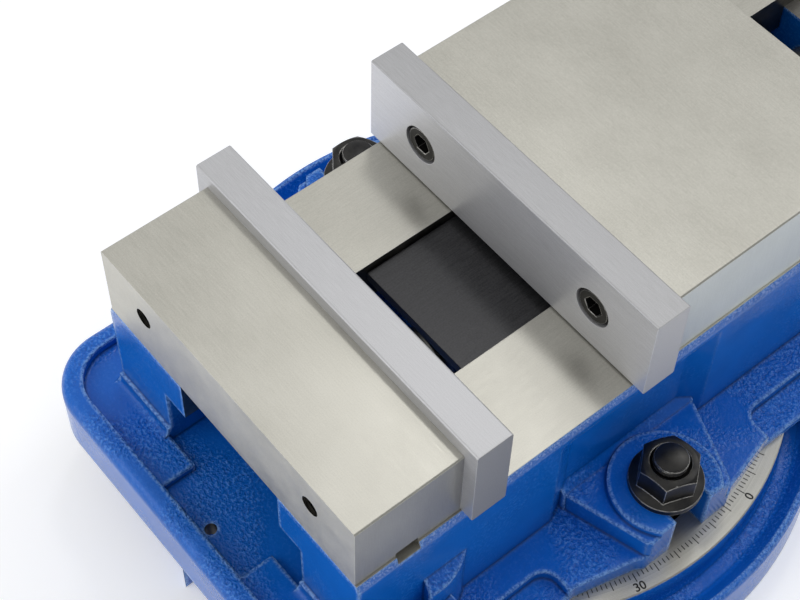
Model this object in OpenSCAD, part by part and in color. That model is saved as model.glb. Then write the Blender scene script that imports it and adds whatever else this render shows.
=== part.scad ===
// Swivel machine vise: a jaw vise with a pull-down movable jaw on a round graduated base.
// Frame: Z up, the swivel axis is the Z axis, the underside of the base is Z = 0, the screw runs along Y,
// the fixed jaw is towards +Y and the handle towards -Y. At rest the jaws stand rest_opening apart.

/* [Jaws] */
// Width of the hardened jaw plates
jaw_w = 160; // [120:1:200]
// Thickness of a jaw plate
plate_t = 16; // [10:0.5:22]
// Height of the jaw plates above the bed
plate_h = 44; // [32:0.5:60]
// How far a jaw plate stands out past its block at each end
plate_over = 6.2; // [2:0.1:12]
// Length of the fixed jaw block behind its plate
fixed_l = 47.3; // [36:0.1:70]
// Height of the fixed jaw block above the bed
fixed_h = 37.5; // [28:0.5:54]
// Length of the movable jaw block behind its plate
mover_l = 119.4; // [95:0.1:150]
// Height of the movable jaw block above the bed
mover_h = 40; // [30:0.5:56]
// Distance from a jaw plate's end to its screw
screw_in = 30.8; // [16:0.2:44]
// Height of the plate screws above the bed
screw_z = 22; // [15:0.5:30]
// Opening between the jaws at rest
rest_opening = 67.2; // [10:0.1:150]

/* [Bed] */
// Height of the bed above the foot
bed_h = 73; // [60:0.5:90]
// How far the bed stands out past the jaw blocks on each side
bed_over = 0.7; // [0:0.1:4]
// Width of the slot between the two rails
slot_w = 58.6; // [44:0.2:66]
// Distance from the swivel axis to the fixed jaw plate's face
fixed_face = 73.3; // [60:0.1:100]
// Distance from the swivel axis to the handle end of the bed
bed_back = 216; // [190:1:250]
// Thickness of the rails above the hollow
rail_t = 22; // [14:0.5:26]
// How far the hollow reaches in under each rail
undercut = 12.7; // [9:0.1:16]

/* [Foot] */
// Thickness of the side flanges
flange_t = 9; // [6:0.5:14]
// How far the side flanges stand out from the bed
flange_out = 28.5; // [26:0.5:34]
// Height of the lugs that the clamp nuts press on
lug_h = 23; // [16:0.5:28]
// How far the lugs stand out from the bed
lug_out = 36.9; // [35:0.1:44]
// Width of the open notch in each lug
notch_w = 18.5; // [14.5:0.5:20]
// How far the coolant tray stands out from the bed's sides
tray_out = 25; // [22:0.5:32]
// How far the coolant tray reaches past the fixed jaw
tray_reach = 26.2; // [24:0.2:40]
// Height of the tray's rim above the foot
tray_h = 27; // [22:0.5:34]

/* [Base] */
// Height of the swivel base up to the graduated ring
base_h = 33; // [28:0.5:42]
// Distance from the bed's side to the axis of a clamp bolt
bolt_out = 21.2; // [20:0.1:25]
// Distance from the clamp bolts' circle to the edge of the graduated ring
ring_out = 26.3; // [24:0.1:34]
// Width of the trough and rim round the ring
rim_out = 16; // [13:0.5:22]
// How far a bolt ear stands out from the base
ear_out = 23; // [20:0.5:36]
// Width of the bolt slot in each ear
ear_slot_w = 18; // [14:0.5:20]
// Diameter of the centre pin
pin_d = 30; // [20:0.5:40]

/* [Screw] */
// Outer diameter of the lead screw's thread
thread_d = 28; // [22:0.5:32]
// Depth of the lead screw's axis below the bed
axis_drop = 37; // [33:0.5:40]
// Across flats of the screw's hexagon end
hex_af = 19; // [15:0.5:22]
// Radius of the crank from the screw's axis to the grip's axis
crank_r = 125; // [90:1:160]
// Diameter of the clamp studs
stud_d = 14; // [12:0.5:16]

/* [Hidden] */
$fn = 72;
eps = 0.01;
fit = 0.04;
block_w = jaw_w - 2 * plate_over;
screw_span = jaw_w - 2 * screw_in;
bed_w = block_w + 2 * bed_over;
hollow_half = slot_w / 2 + undercut;
flange_half = bed_w / 2 + flange_out;
lug_half = bed_w / 2 + lug_out;
bolt_circle_r = bed_w / 2 + bolt_out;
ring_r = bolt_circle_r + ring_out;
base_r = ring_r + rim_out;
ear_end = base_r + ear_out;
tray_half = bed_w / 2 + tray_out;
slide_gap = 0.4;
slide_lift = 0.05;
bed_z = base_h + bed_h;
axis_z = bed_z - axis_drop;
mover_face = fixed_face - rest_opening;
mover_front = mover_face - plate_t;
mover_back = mover_front - mover_l;
fixed_front = fixed_face + plate_t;
fixed_back = fixed_front + fixed_l;
tray_end = fixed_back + tray_reach;
floor_z = base_h + 19;
rail_under = bed_z - rail_t;
plate_lift = 0.3;
plate_chamfer = 0.6;

// plate screws
cap_d = 10;
cap_head_d = 16;
cap_head_h = 10;
cap_seat_d = 17;
cap_seat_depth = 10.6;
tap_d = 8.4;
cap_grip = plate_t - cap_seat_depth;
cap_bite = 14;

// keyway across the bed under the fixed jaw
key_w = 10;
key_y = fixed_front + 24.3;
key_up = 2.2;
key_down = 3.3;
key_len = block_w - 27.6;

// bolts that hold the fixed jaw from below
jaw_bolt_in = 9.8;
jaw_bolt_x = bed_w / 2 - jaw_bolt_in;
jaw_bolt_y = fixed_front + 13.7;
jaw_bolt_d = 12;
jaw_bolt_head_d = 18;
jaw_bolt_head_h = 12;
jaw_bolt_seat_z = base_h + 26;
jaw_bolt_bite = 20;
boss_r = 26.7;
boss_out = 6.1;
boss_top = bed_z - 31;
boss_slope = 25;
boss_cut = [40, 70, 30];

// thrust bearing wall at the handle end
wall_t = 30;
wall_in = -bed_back + wall_t;
wall_top = bed_z - 9;
journal_d = 22;
collar_d = 42;
collar_t = 9;
race_t = 2;
cage_t = 3;
race_d = 40;
race_gap = 0.5;
race_bore = 22.8;
pack_t = 2 * race_t + cage_t;
pack_back = wall_in - pack_t;
bush_wall = 3;
cap_t = 9;
cap_half_w = slot_w / 2 + 8.7;
cap_half_h = 24;
cap_screw_len = 14;
collar_room = 1;
cap_bolt_x = cap_half_w - 9;
cap_bolt_z = 16;
cap_bolt_d = 6;
seal_d = 30;
seal_t = 5;
lock_d = 38;
lock_t = 12;
cap_face = -bed_back - cap_t;
lock_back = cap_face - 0.4 - lock_t;
hex_len = 26;
screw_front = mover_front + 58;

// nut, half ball and adjusting screw inside the movable jaw
nut_back = mover_front - 65;
nut_len = 50;
nut_top = bed_z - 8.8;
nut_half = slot_w / 2 - slide_gap / 2;
wing_half = hollow_half - 1;
wing_t = 14;
ball_y = mover_front - 28;
ball_z = bed_z + 12;
ball_r = 13;
post_half = 20;
post_back = mover_front - 70;
post_top = bed_z + 24;
pocket_gap = 1;
set_d = 12;
set_z = bed_z + 15;
set_len = 36;

// chip guard in the slot
guard_t = 5;
guard_drop = 3.7;
guard_front = mover_face + 43;
guard_back = mover_front - 34;
guard_half = slot_w / 2 - 0.6;
guard_screw_d = 6;
guard_head_d = 11;
guard_tap_depth = 12;
guard_screw_bite = 10;
guard_screw_x = 18;
guard_screw_y = mover_front - 25;

// swivel base
rim_h = base_h - 9;
trough_z = base_h - 17;
neck_half = 7.8;
neck_depth = 9;
tee_half = 13;
tee_depth = 19;
ring_in = 62;
hub_r = 34;
well_z = base_h - 12;
ear_half = 23;
ear_t = 18;
entry_r = 14.2;
key_slot_w = 18;
key_slot_depth = 5;
pin_foot = 0;
pin_up = 13;
drain_d = 5;
drain_in = 14;

// clamp studs and nuts
seat_z = base_h + lug_h;
seat_r = 22.8;
seat_step = 3.5;
nut_af = 22;
collar_r = 15;
flange_rim = 4;
nut_h = 15.5;
stud_out = 4.6;
stud_dome = 1.5;
tee_head_w = 24;
tee_head_h = 8;

// lug outline
lug_root = 33.5;
lug_root_back = 36.5;
lug_tip = 22.5;
lug_in = bed_w / 2 - 6;
lug_fillet = 4;

// cast side walls
band_w = 1.2;
band_h = 4;
wall_half = bed_w / 2 + band_w;
recess_depth = 5;
recess_half = 41;
recess_slope = 11;

// tray floor
pad_up = 3.6;
channel_half = 25;
tray_wall = 8.5;
tray_corner = 26;
rim_round = 4.5;
foot_round = 3.5;
wall_foot = 1.5;
tray_start = fixed_front + 8;

// handle
hub_len = 40;
hub_d = 36;
arm_t = 12;
grip_d = 30;
grip_len = 92;
grip_pin_d = 12;
hub_back = lock_back - 3 - hub_len;
crank_rest = -60;

// Cylinder along Y from y0 to y1
module rod_y(d, y0, y1, x = 0, z = 0) {
    translate([x, y1, z]) rotate([90, 0, 0]) cylinder(d = d, h = y1 - y0);
}

// Box given by its two corners
module box(a, b) {
    translate(a) cube(b - a);
}

// Hexagon bar along Z with its flats across X
module hex_z(af, h) {
    cylinder(d = af / cos(30), h = h, $fn = 6);
}

// The same shape on both sides of the YZ plane
module both_sides() {
    children();
    mirror([1, 0, 0]) children();
}

// Rounded rectangle centred on X, from y0 to y1
module round_plan(half, y0, y1, r) {
    translate([-half + r, y0]) square([2 * (half - r), y1 - y0]);
    translate([-half, y0 + r]) square([2 * half, y1 - y0 - 2 * r]);
    for (x = [-half + r, half - r], y = [y0 + r, y1 - r]) translate([x, y]) circle(r = r);
}

// Hexagon socket cap screw along Y: its head's top is at y = 0, its shank points to -Y
module cap_screw(d, head_d, head_h, len, socket) {
    chamfer = head_d / 20;
    difference() {
        union() {
            rotate([90, 0, 0]) cylinder(d1 = head_d - 2 * chamfer, d2 = head_d, h = chamfer);
            translate([0, -chamfer, 0]) rotate([90, 0, 0]) cylinder(d = head_d, h = head_h - chamfer);
            translate([0, -head_h + eps, 0]) rotate([90, 0, 0]) cylinder(d = d, h = len);
        }
        translate([0, eps, 0]) rotate([90, 0, 0]) hex_z(socket, head_h * 0.55);
    }
}

// Round casting of the base: ring with its T slot, trough and raised rim
module base_profile() {
    polygon([[pin_d / 2, 0], [base_r + 1, 0], [base_r + 1, 3], [base_r, rim_h - 2],
        [base_r - 0.8, rim_h - 0.5], [base_r - 2.6, rim_h], [base_r - 5, rim_h - 3.4],
        [base_r - 7.4, trough_z + 1.2], [base_r - 9.2, trough_z], [ring_r + 3.6, trough_z],
        [ring_r + 1.2, trough_z + 0.9], [ring_r + 0.2, trough_z + 3], [ring_r, trough_z + 5],
        [ring_r, base_h - 0.5], [ring_r - 0.5, base_h],
        [bolt_circle_r + neck_half, base_h], [bolt_circle_r + neck_half, base_h - neck_depth],
        [bolt_circle_r + tee_half, base_h - neck_depth], [bolt_circle_r + tee_half, base_h - tee_depth],
        [bolt_circle_r - tee_half, base_h - tee_depth], [bolt_circle_r - tee_half, base_h - neck_depth],
        [bolt_circle_r - neck_half, base_h - neck_depth], [bolt_circle_r - neck_half, base_h],
        [ring_in, base_h], [ring_in, base_h - 2], [ring_in - 4, well_z], [hub_r + 4, well_z],
        [hub_r, base_h], [pin_d / 2 + 1, base_h], [pin_d / 2, base_h - 1]]);
}

module bolt_ear() {
    difference() {
        union() {
            box([-ear_half, base_r - 20, 0], [ear_half, ear_end - ear_half, ear_t]);
            translate([0, ear_end - ear_half, 0]) cylinder(r = ear_half, h = ear_t);
        }
        cylinder(r = base_r - 10, h = base_h);
    }
}

module ear_cut() {
    box([-ear_slot_w / 2, ear_end - ear_half - 2, -eps], [ear_slot_w / 2, ear_end + 1, base_h]);
    translate([0, ear_end - ear_half - 2, -eps]) cylinder(d = ear_slot_w, h = base_h);
    box([-key_slot_w / 2, hub_r + 8, -eps], [key_slot_w / 2, ear_end + 1, key_slot_depth]);
}

module swivel_base() {
    color("#1558B0") difference() {
        union() {
            rotate_extrude($fn = 120) base_profile();
            bolt_ear();
            rotate([0, 0, 180]) bolt_ear();
        }
        ear_cut();
        rotate([0, 0, 180]) ear_cut();
        translate([0, bolt_circle_r, base_h - tee_depth + 1]) cylinder(r = entry_r, h = tee_depth);
    }
}

module pivot_pin() {
    color("#8A8A88") union() {
        translate([0, 0, pin_foot]) cylinder(d = pin_d, h = base_h + pin_up - 2 - pin_foot);
        translate([0, 0, base_h + pin_up - 2]) cylinder(d1 = pin_d, d2 = pin_d - 3, h = 2);
    }
}

// Half outline of a side flange, from the lug towards +Y
module flange_plan() {
    polygon([[0, -bed_back + 46], [flange_half - 14, -bed_back + 46], [flange_half, -bed_back + 60],
        [flange_half, -52], [flange_half + 1.5, -46], [lug_half - 2, -26], [lug_half, -lug_tip],
        [lug_half, lug_tip], [lug_half - 2, 26], [flange_half + 1.5, 46], [flange_half, 52],
        [flange_half, tray_end - 48], [0, tray_end - 48]]);
}

module lug_plan() {
    polygon([[lug_in, -lug_root_back], [bed_w / 2 + 2, -lug_root_back + 1], [lug_half - 1.5, -lug_tip],
        [lug_half, -lug_tip + 2],
        [lug_half, lug_tip - 2], [lug_half - 1.5, lug_tip], [bed_w / 2 + 2, lug_root - 1],
        [lug_in, lug_root]]);
}

module lug() {
    deep = wall_half - recess_depth;
    translate([0, 0, base_h]) linear_extrude(lug_h - seat_step) lug_plan();
    intersection() {
        translate([bolt_circle_r, 0, base_h]) cylinder(r = seat_r, h = lug_h);
        box([lug_in, -seat_r, base_h], [lug_half, seat_r, seat_z]);
    }
    // sloping fillet against the wall
    translate([0, lug_root, 0]) rotate([90, 0, 0]) linear_extrude(lug_root + lug_root_back)
        polygon([[lug_in, seat_z - seat_step - 1], [deep, seat_z], [deep + lug_fillet, seat_z - seat_step],
            [wall_half, base_h + 1], [lug_in, base_h + 1]]);
}

// Clamp ledge sunk into the outer edge of a flange
module clamp_ledge(y0, y1) {
    ledge_in = flange_half - 14;
    end_r = 7;
    ledge_z = base_h + 4;
    box([ledge_in, y0 + end_r, ledge_z], [lug_half + 5, y1 - end_r, bed_z]);
    box([ledge_in + end_r, y0, ledge_z], [lug_half + 5, y1, bed_z]);
    for (y = [y0 + end_r, y1 - end_r])
        translate([ledge_in + end_r, y, ledge_z]) cylinder(r = end_r, h = bed_h);
}

// Boss on the side wall that carries a fixed jaw bolt, its top cut sloping away from the wall
module jaw_bolt_boss() {
    difference() {
        translate([wall_half + boss_out - boss_r, jaw_bolt_y, base_h])
            cylinder(r = boss_r, h = boss_top - base_h);
        translate([bed_w / 2, jaw_bolt_y - boss_cut.y / 2, boss_top])
            rotate([0, boss_slope, 0]) cube(boss_cut);
    }
}

// Cross section of the bed with the cast band along its edges
module bed_section() {
    half = bed_w / 2;
    polygon([[-wall_half, base_h], [wall_half, base_h], [wall_half, bed_z - band_h],
        [half, bed_z], [-half, bed_z], [-wall_half, bed_z - band_h]]);
}

module bed_bar(y0, y1) {
    translate([0, y1, 0]) rotate([90, 0, 0]) linear_extrude(y1 - y0) bed_section();
}

// Shallow recess in the side wall over the lug, with sloping ends and a sloping top
module wall_recess() {
    deep = wall_half - recess_depth;
    intersection() {
        translate([0, 0, base_h + flange_t]) linear_extrude(bed_h)
            polygon([[wall_half, -recess_half], [deep, -recess_half + recess_slope],
                [deep, recess_half - recess_slope], [wall_half, recess_half],
                [wall_half + 1, recess_half], [wall_half + 1, -recess_half]]);
        translate([0, recess_half, 0]) rotate([90, 0, 0]) linear_extrude(2 * recess_half)
            polygon([[wall_half + 1, base_h], [deep, base_h], [deep, bed_z - 14], [wall_half, bed_z - 7],
                [wall_half + 1, bed_z - 7]]);
    }
}

// Section of the tray from its middle out to a rim with a rounded top edge
module rim_section(reach) {
    square([reach - rim_round, tray_h]);
    square([reach, tray_h - rim_round]);
    translate([reach - rim_round, tray_h - rim_round]) circle(r = rim_round);
}

module tray() {
    straight = tray_end - tray_corner - tray_start;
    translate([0, 0, base_h]) both_sides() {
        translate([0, tray_end - tray_corner, 0]) rotate([90, 0, 0]) linear_extrude(straight)
            rim_section(tray_half);
        translate([0, tray_start, 0]) rotate([90, 0, 90]) linear_extrude(tray_half - tray_corner)
            rim_section(tray_end - tray_start);
        translate([tray_half - tray_corner, tray_end - tray_corner, 0]) rotate_extrude()
            rim_section(tray_corner);
    }
}

// Basin of the tray: two raised pads with a channel between them that leads to the drain hole
module tray_basin() {
    inner = tray_end - tray_wall;
    pad_z = floor_z + pad_up;
    difference() {
        translate([0, 0, pad_z]) linear_extrude(bed_h)
            round_plan(tray_half - tray_wall, tray_start + tray_wall, inner, 19);
        box([-wall_half, 0, base_h], [wall_half, fixed_back + wall_foot, bed_z + 1]);
        // rounded foot of the end wall
        both_sides() translate([hollow_half, fixed_back + wall_foot, pad_z]) rotate([90, 0, 90])
            linear_extrude(wall_half - hollow_half) difference() {
                translate([-1, -1]) square(foot_round + 1);
                translate([foot_round, foot_round]) circle(r = foot_round);
            }
    }
    box([-channel_half, fixed_back - 1, floor_z], [channel_half, inner - 1.5, pad_z + 1]);
}

module tray_underside() {
    difference() {
        translate([0, 0, base_h - eps]) linear_extrude(floor_z - base_h - 9)
            round_plan(tray_half - tray_wall, tray_start + 22, tray_end - tray_wall, 16);
        box([-wall_half, 0, base_h - 1], [wall_half, fixed_back - 4, bed_z]);
    }
}

// Hollow cast under the body between the ring and the hub
module body_underside() {
    translate([0, 0, base_h - eps]) difference() {
        cylinder(r = ring_in - 2, h = 8);
        translate([0, 0, -1]) cylinder(r = hub_r + 4, h = 10);
    }
}

module vise_body() {
    color("#1558B0") difference() {
        union() {
            difference() {
                bed_bar(-bed_back, fixed_back);
                both_sides() wall_recess();
            }
            both_sides() translate([0, 0, base_h]) linear_extrude(flange_t) flange_plan();
            both_sides() lug();
            both_sides() jaw_bolt_boss();
            tray();
        }
        tray_basin();
        tray_underside();
        body_underside();
        both_sides() {
            translate([bolt_circle_r, 0, base_h - 1]) cylinder(d = notch_w, h = bed_h);
            box([bolt_circle_r, -notch_w / 2, base_h - 1], [lug_half + 10, notch_w / 2, bed_z]);
        }
        both_sides() clamp_ledge(55, tray_start - 8);
        both_sides() clamp_ledge(-bed_back + 62, -54);
        box([-slot_w / 2, -bed_back - 1, wall_top], [slot_w / 2, fixed_back + 1, bed_z + 1]);
        box([-slot_w / 2, wall_in, floor_z], [slot_w / 2, fixed_back + wall_foot + eps, bed_z + 1]);
        box([-hollow_half, wall_in, floor_z], [hollow_half, fixed_back + wall_foot + eps, rail_under]);
        box([-bed_w / 2 - 1, key_y - key_w / 2, bed_z - key_down],
            [bed_w / 2 + 1, key_y + key_w / 2, bed_z + 1]);
        box([-bed_w, -bed_back - 1, base_h - 1], [bed_w, -bed_back + 36, base_h + 11]);
        translate([0, 0, base_h - eps]) cylinder(d = pin_d + 2 * fit, h = pin_up + 1);
        box([-8, -bed_back, base_h - 1], [8, tray_end - 12, base_h + 4]);
        box([-flange_half - 1, -8, base_h - 1], [-lug_in, 8, base_h + 4]);
        box([lug_in, -8, base_h - 1], [flange_half + 1, 8, base_h + 4]);
        for (x = [-jaw_bolt_x, jaw_bolt_x]) {
            translate([x, jaw_bolt_y, base_h - 1]) cylinder(d = jaw_bolt_d + 1, h = bed_h + 2);
            translate([x, jaw_bolt_y, base_h - 1])
                cylinder(d = jaw_bolt_head_d + 1, h = jaw_bolt_seat_z - base_h + 1);
        }
        rod_y(journal_d + 2 * bush_wall, -bed_back - 1, wall_in + 1, 0, axis_z);
        rod_y(race_d + 2 * race_gap, pack_back, wall_in + 1, 0, axis_z);
        rod_y(collar_d + 2 * collar_room, wall_in - eps, wall_in + collar_t + 2, 0, axis_z);
        for (x = [-cap_bolt_x, cap_bolt_x], z = [-cap_bolt_z, cap_bolt_z])
            rod_y(cap_bolt_d, -bed_back - 1, -bed_back + cap_screw_len, x, axis_z + z);
        translate([0, tray_end - drain_in, 0]) cylinder(d = drain_d, h = bed_z);
    }
}

module plate_holes(y_face, dir) {
    for (x = [-screw_span / 2, screw_span / 2])
        translate([x, y_face, bed_z + screw_z]) rotate([dir * 90, 0, 0]) {
            translate([0, 0, -1]) cylinder(d = cap_d + 0.6, h = plate_t + 2);
            translate([0, 0, -1]) cylinder(d = cap_seat_d, h = cap_seat_depth + 1);
        }
}

// Hardened jaw plate standing between y and y + plate_t, with chamfered long edges
module jaw_plate(y) {
    c = plate_chamfer;
    z0 = bed_z + plate_lift;
    z1 = bed_z + plate_h;
    translate([-jaw_w / 2, 0, 0]) rotate([90, 0, 90]) linear_extrude(jaw_w)
        polygon([[y, z0 + c], [y + c, z0], [y + plate_t - c, z0], [y + plate_t, z0 + c],
            [y + plate_t, z1 - c], [y + plate_t - c, z1], [y + c, z1], [y, z1 - c]]);
}

module fixed_jaw_plate() {
    color("#C2C2C4") difference() {
        jaw_plate(fixed_face);
        plate_holes(fixed_face, -1);
    }
}

module movable_jaw_plate() {
    color("#C2C2C4") difference() {
        jaw_plate(mover_front);
        plate_holes(mover_face, 1);
    }
}

module fixed_plate_screws() {
    color("#2A2A2A") for (x = [-screw_span / 2, screw_span / 2])
        translate([x, fixed_face + cap_seat_depth - cap_head_h, bed_z + screw_z]) mirror([0, 1, 0])
            cap_screw(cap_d, cap_head_d, cap_head_h, cap_grip + cap_bite, 8);
}

module movable_plate_screws() {
    color("#2A2A2A") for (x = [-screw_span / 2, screw_span / 2])
        translate([x, mover_face - cap_seat_depth + cap_head_h, bed_z + screw_z])
            cap_screw(cap_d, cap_head_d, cap_head_h, cap_grip + cap_bite, 8);
}

// Jaw block from y0 to y1 that stands lift above the bed, with a small chamfer along its top
module jaw_block(y0, y1, h, lift) {
    c = 0.6;
    half = block_w / 2;
    translate([0, y1, bed_z]) rotate([90, 0, 0]) linear_extrude(y1 - y0)
        polygon([[-half, lift], [half, lift], [half, h - c], [half - c, h], [-half + c, h], [-half, h - c]]);
}

module fixed_jaw() {
    color("#BDBBB3") difference() {
        jaw_block(fixed_front, fixed_back, fixed_h, 0);
        box([-block_w / 2 - 1, key_y - key_w / 2, bed_z - 1],
            [block_w / 2 + 1, key_y + key_w / 2, bed_z + key_up]);
        for (x = [-screw_span / 2, screw_span / 2]) {
            rod_y(cap_d, fixed_front - 1, fixed_front + cap_bite + 2, x, bed_z + screw_z);
            rod_y(tap_d, fixed_front - 1, fixed_back + 1, x, bed_z + screw_z);
        }
        for (x = [-jaw_bolt_x, jaw_bolt_x])
            translate([x, jaw_bolt_y, bed_z - 1]) cylinder(d = jaw_bolt_d, h = jaw_bolt_bite + 3);
    }
}

module fixed_jaw_key() {
    color("#8A8A88") box([-key_len / 2, key_y - key_w / 2, bed_z - key_down],
        [key_len / 2, key_y + key_w / 2, bed_z + key_up - 0.3]);
}

module fixed_jaw_bolts() {
    len = bed_z - jaw_bolt_seat_z + jaw_bolt_bite;
    color("#2A2A2A") for (x = [-jaw_bolt_x, jaw_bolt_x])
        translate([x, jaw_bolt_y, jaw_bolt_seat_z - jaw_bolt_head_h]) rotate([-90, 0, 0])
            cap_screw(jaw_bolt_d, jaw_bolt_head_d, jaw_bolt_head_h, len, 10);
}

// T-headed stud that slides round in the base's T slot, with a domed top
module clamp_stud() {
    head_z = base_h - neck_depth - tee_head_h - 0.3;
    top = seat_z + nut_h + stud_out;
    dome_r = (stud_d * stud_d / 4 + stud_dome * stud_dome) / (2 * stud_dome);
    union() {
        translate([-tee_head_w / 2, -tee_head_w / 2, head_z]) cube([tee_head_w, tee_head_w, tee_head_h]);
        translate([0, 0, head_z]) cylinder(d = stud_d, h = top - stud_dome - head_z);
        intersection() {
            translate([0, 0, top - stud_dome - 1]) cylinder(d = stud_d, h = stud_dome + 1);
            translate([0, 0, top - dome_r]) sphere(r = dome_r);
        }
    }
}

module clamp_studs() {
    color("#2A2A2A") both_sides() translate([bolt_circle_r, 0, 0]) clamp_stud();
}

// Tall collar nut: hexagon with chamfered corners on a wide round collar
module collar_nut() {
    difference() {
        union() {
            cylinder(r = collar_r, h = flange_rim - 1.2);
            translate([0, 0, flange_rim - 1.2]) cylinder(r1 = collar_r, r2 = nut_af / 2 + 0.4, h = 1.6);
            intersection() {
                hex_z(nut_af, nut_h);
                union() {
                    cylinder(r = nut_af, h = nut_h - 1.7);
                    translate([0, 0, nut_h - 1.7])
                        cylinder(r1 = nut_af / 2 + 1.9, r2 = nut_af / 2 - 0.6, h = 1.7);
                }
            }
        }
        translate([0, 0, -1]) cylinder(d = stud_d + 2 * fit, h = nut_h + 2);
        translate([0, 0, nut_h - 1.3]) cylinder(d1 = stud_d, d2 = stud_d + 2.8, h = 1.4);
    }
}

module clamp_nut_near() {
    color("#2E2E2E") translate([-bolt_circle_r, 0, seat_z]) rotate([0, 0, 9]) collar_nut();
}

module clamp_nut_far() {
    color("#2E2E2E") translate([bolt_circle_r, 0, seat_z]) rotate([0, 0, 24]) collar_nut();
}

module bearing_cap() {
    color("#3A3A3A") difference() {
        box([-cap_half_w, cap_face, axis_z - cap_half_h], [cap_half_w, -bed_back, axis_z + cap_half_h]);
        rod_y(journal_d + 1, cap_face - 1, -bed_back + 1, 0, axis_z);
        rod_y(seal_d, cap_face - 1, cap_face + seal_t, 0, axis_z);
        for (x = [-cap_bolt_x, cap_bolt_x], z = [-cap_bolt_z, cap_bolt_z]) {
            rod_y(cap_bolt_d + 0.6, cap_face - 1, -bed_back + 1, x, axis_z + z);
            rod_y(11, cap_face - 1, cap_face + 6.3, x, axis_z + z);
        }
    }
}

module bearing_cap_screws() {
    color("#2A2A2A") for (x = [-cap_bolt_x, cap_bolt_x], z = [-cap_bolt_z, cap_bolt_z])
        translate([x, cap_face + 0.3, axis_z + z]) mirror([0, 1, 0])
            cap_screw(cap_bolt_d, 10, 6, cap_screw_len, 5);
}

module screw_bush() {
    color("#B08A4A") difference() {
        rod_y(journal_d + 2 * bush_wall, -bed_back, pack_back, 0, axis_z);
        rod_y(journal_d + 2 * fit, -bed_back - 1, pack_back + 1, 0, axis_z);
    }
}

module screw_seal() {
    color("#202020") difference() {
        rod_y(seal_d, cap_face, cap_face + seal_t, 0, axis_z);
        rod_y(journal_d + 2 * fit, cap_face - 1, cap_face + seal_t + 1, 0, axis_z);
    }
}

// Flat ring of the thrust bearing
module race(y) {
    difference() {
        rod_y(race_d, y, y + race_t, 0, axis_z);
        rod_y(race_bore, y - 1, y + race_t + 1, 0, axis_z);
    }
}

module wall_race() {
    color("#B9B9B9") race(pack_back);
}

module collar_race() {
    color("#B9B9B9") race(wall_in - race_t);
}

module needle_cage() {
    needles = 24;
    y0 = pack_back + race_t;
    color("#C8A860") union() {
        difference() {
            rod_y(race_d - 1, y0 + 0.4, y0 + cage_t - 0.4, 0, axis_z);
            rod_y(race_bore + 1, y0 - 1, y0 + cage_t + 1, 0, axis_z);
        }
        for (i = [0:needles - 1]) translate([0, y0 + cage_t / 2, axis_z]) rotate([0, i * 360 / needles, 0])
            translate([race_bore / 2 + 1.5, 0, 0]) rotate([0, 90, 0])
                cylinder(d = cage_t - 0.04, h = 6, $fn = 16);
    }
}

module movable_jaw() {
    color("#BDBBB3") difference() {
        jaw_block(mover_back, mover_front, mover_h, slide_lift);
        for (x = [-screw_span / 2, screw_span / 2])
            rod_y(cap_d, mover_front - cap_bite - 4, mover_front + 1, x, bed_z + screw_z);
        pocket();
        translate([0, ball_y, ball_z]) sphere(r = ball_r + fit);
        rod_y(set_d, mover_back - 1, post_back, 0, set_z);
    }
}

// Hollow in the movable jaw's underside for the nut's post
module pocket() {
    g = pocket_gap;
    shift = ball_y - ball_z + 1.4 * g;
    translate([-post_half - g, 0, 0]) rotate([90, 0, 90]) linear_extrude(2 * (post_half + g))
        polygon([[post_back - g, bed_z - 1], [post_back - g, post_top + g],
            [post_top + g + shift, post_top + g],
            [bed_z - 1 + shift, bed_z - 1]]);
}

// Nut: block on the screw, wings under the rails and a post with a leaning face
module lead_nut() {
    shift = ball_y - ball_z;
    nut_front = nut_back + nut_len;
    color("#4A4A4A") difference() {
        union() {
            box([-nut_half, nut_back, floor_z + 1], [nut_half, nut_front, nut_top]);
            box([-wing_half, nut_back, rail_under - wing_t - 0.2], [wing_half, nut_front, rail_under - 0.2]);
            translate([-post_half, 0, 0]) rotate([90, 0, 90]) linear_extrude(2 * post_half)
                polygon([[post_back, nut_top - 1], [post_back, post_top], [post_top + shift, post_top],
                    [nut_top - 1 + shift, nut_top - 1]]);
        }
        rod_y(thread_d + 2 * fit, nut_back - 1, nut_front + 1, 0, axis_z);
        for (x = [-guard_screw_x, guard_screw_x])
            translate([x, guard_screw_y, nut_top - guard_tap_depth])
                cylinder(d = guard_screw_d, h = guard_tap_depth + 1);
    }
}

module half_ball() {
    color("#9A9A9A") intersection() {
        translate([0, ball_y, ball_z]) sphere(r = ball_r);
        translate([0, ball_y, ball_z]) rotate([-45, 0, 0])
            translate([-ball_r, 0, -ball_r]) cube([2 * ball_r, ball_r, 2 * ball_r]);
    }
}

module adjusting_screw() {
    color("#2A2A2A") difference() {
        rod_y(set_d, post_back - set_len, post_back, 0, set_z);
        translate([0, post_back - set_len - eps, set_z]) rotate([-90, 0, 0]) hex_z(6, 7);
    }
}

module chip_guard() {
    z1 = bed_z - guard_drop;
    color("#262626") difference() {
        box([-guard_half, guard_back, z1 - guard_t], [guard_half, guard_front, z1]);
        for (x = [-guard_screw_x, guard_screw_x])
            translate([x, guard_screw_y, z1 - guard_t - 1]) {
                cylinder(d = guard_screw_d + 0.6, h = guard_t + 2);
                translate([0, 0, guard_t - 2.2]) cylinder(d = guard_head_d + 1, h = 4);
            }
    }
}

module chip_guard_screws() {
    z1 = bed_z - guard_drop;
    color("#2A2A2A") for (x = [-guard_screw_x, guard_screw_x]) translate([x, guard_screw_y, 0]) difference() {
        union() {
            translate([0, 0, z1 - 3.2]) cylinder(d = guard_head_d, h = 2.8);
            translate([0, 0, nut_top - guard_screw_bite])
                cylinder(d = guard_screw_d, h = z1 - 3 - nut_top + guard_screw_bite);
        }
        translate([0, 0, z1 - 2.6]) hex_z(4, 3);
    }
}

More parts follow.
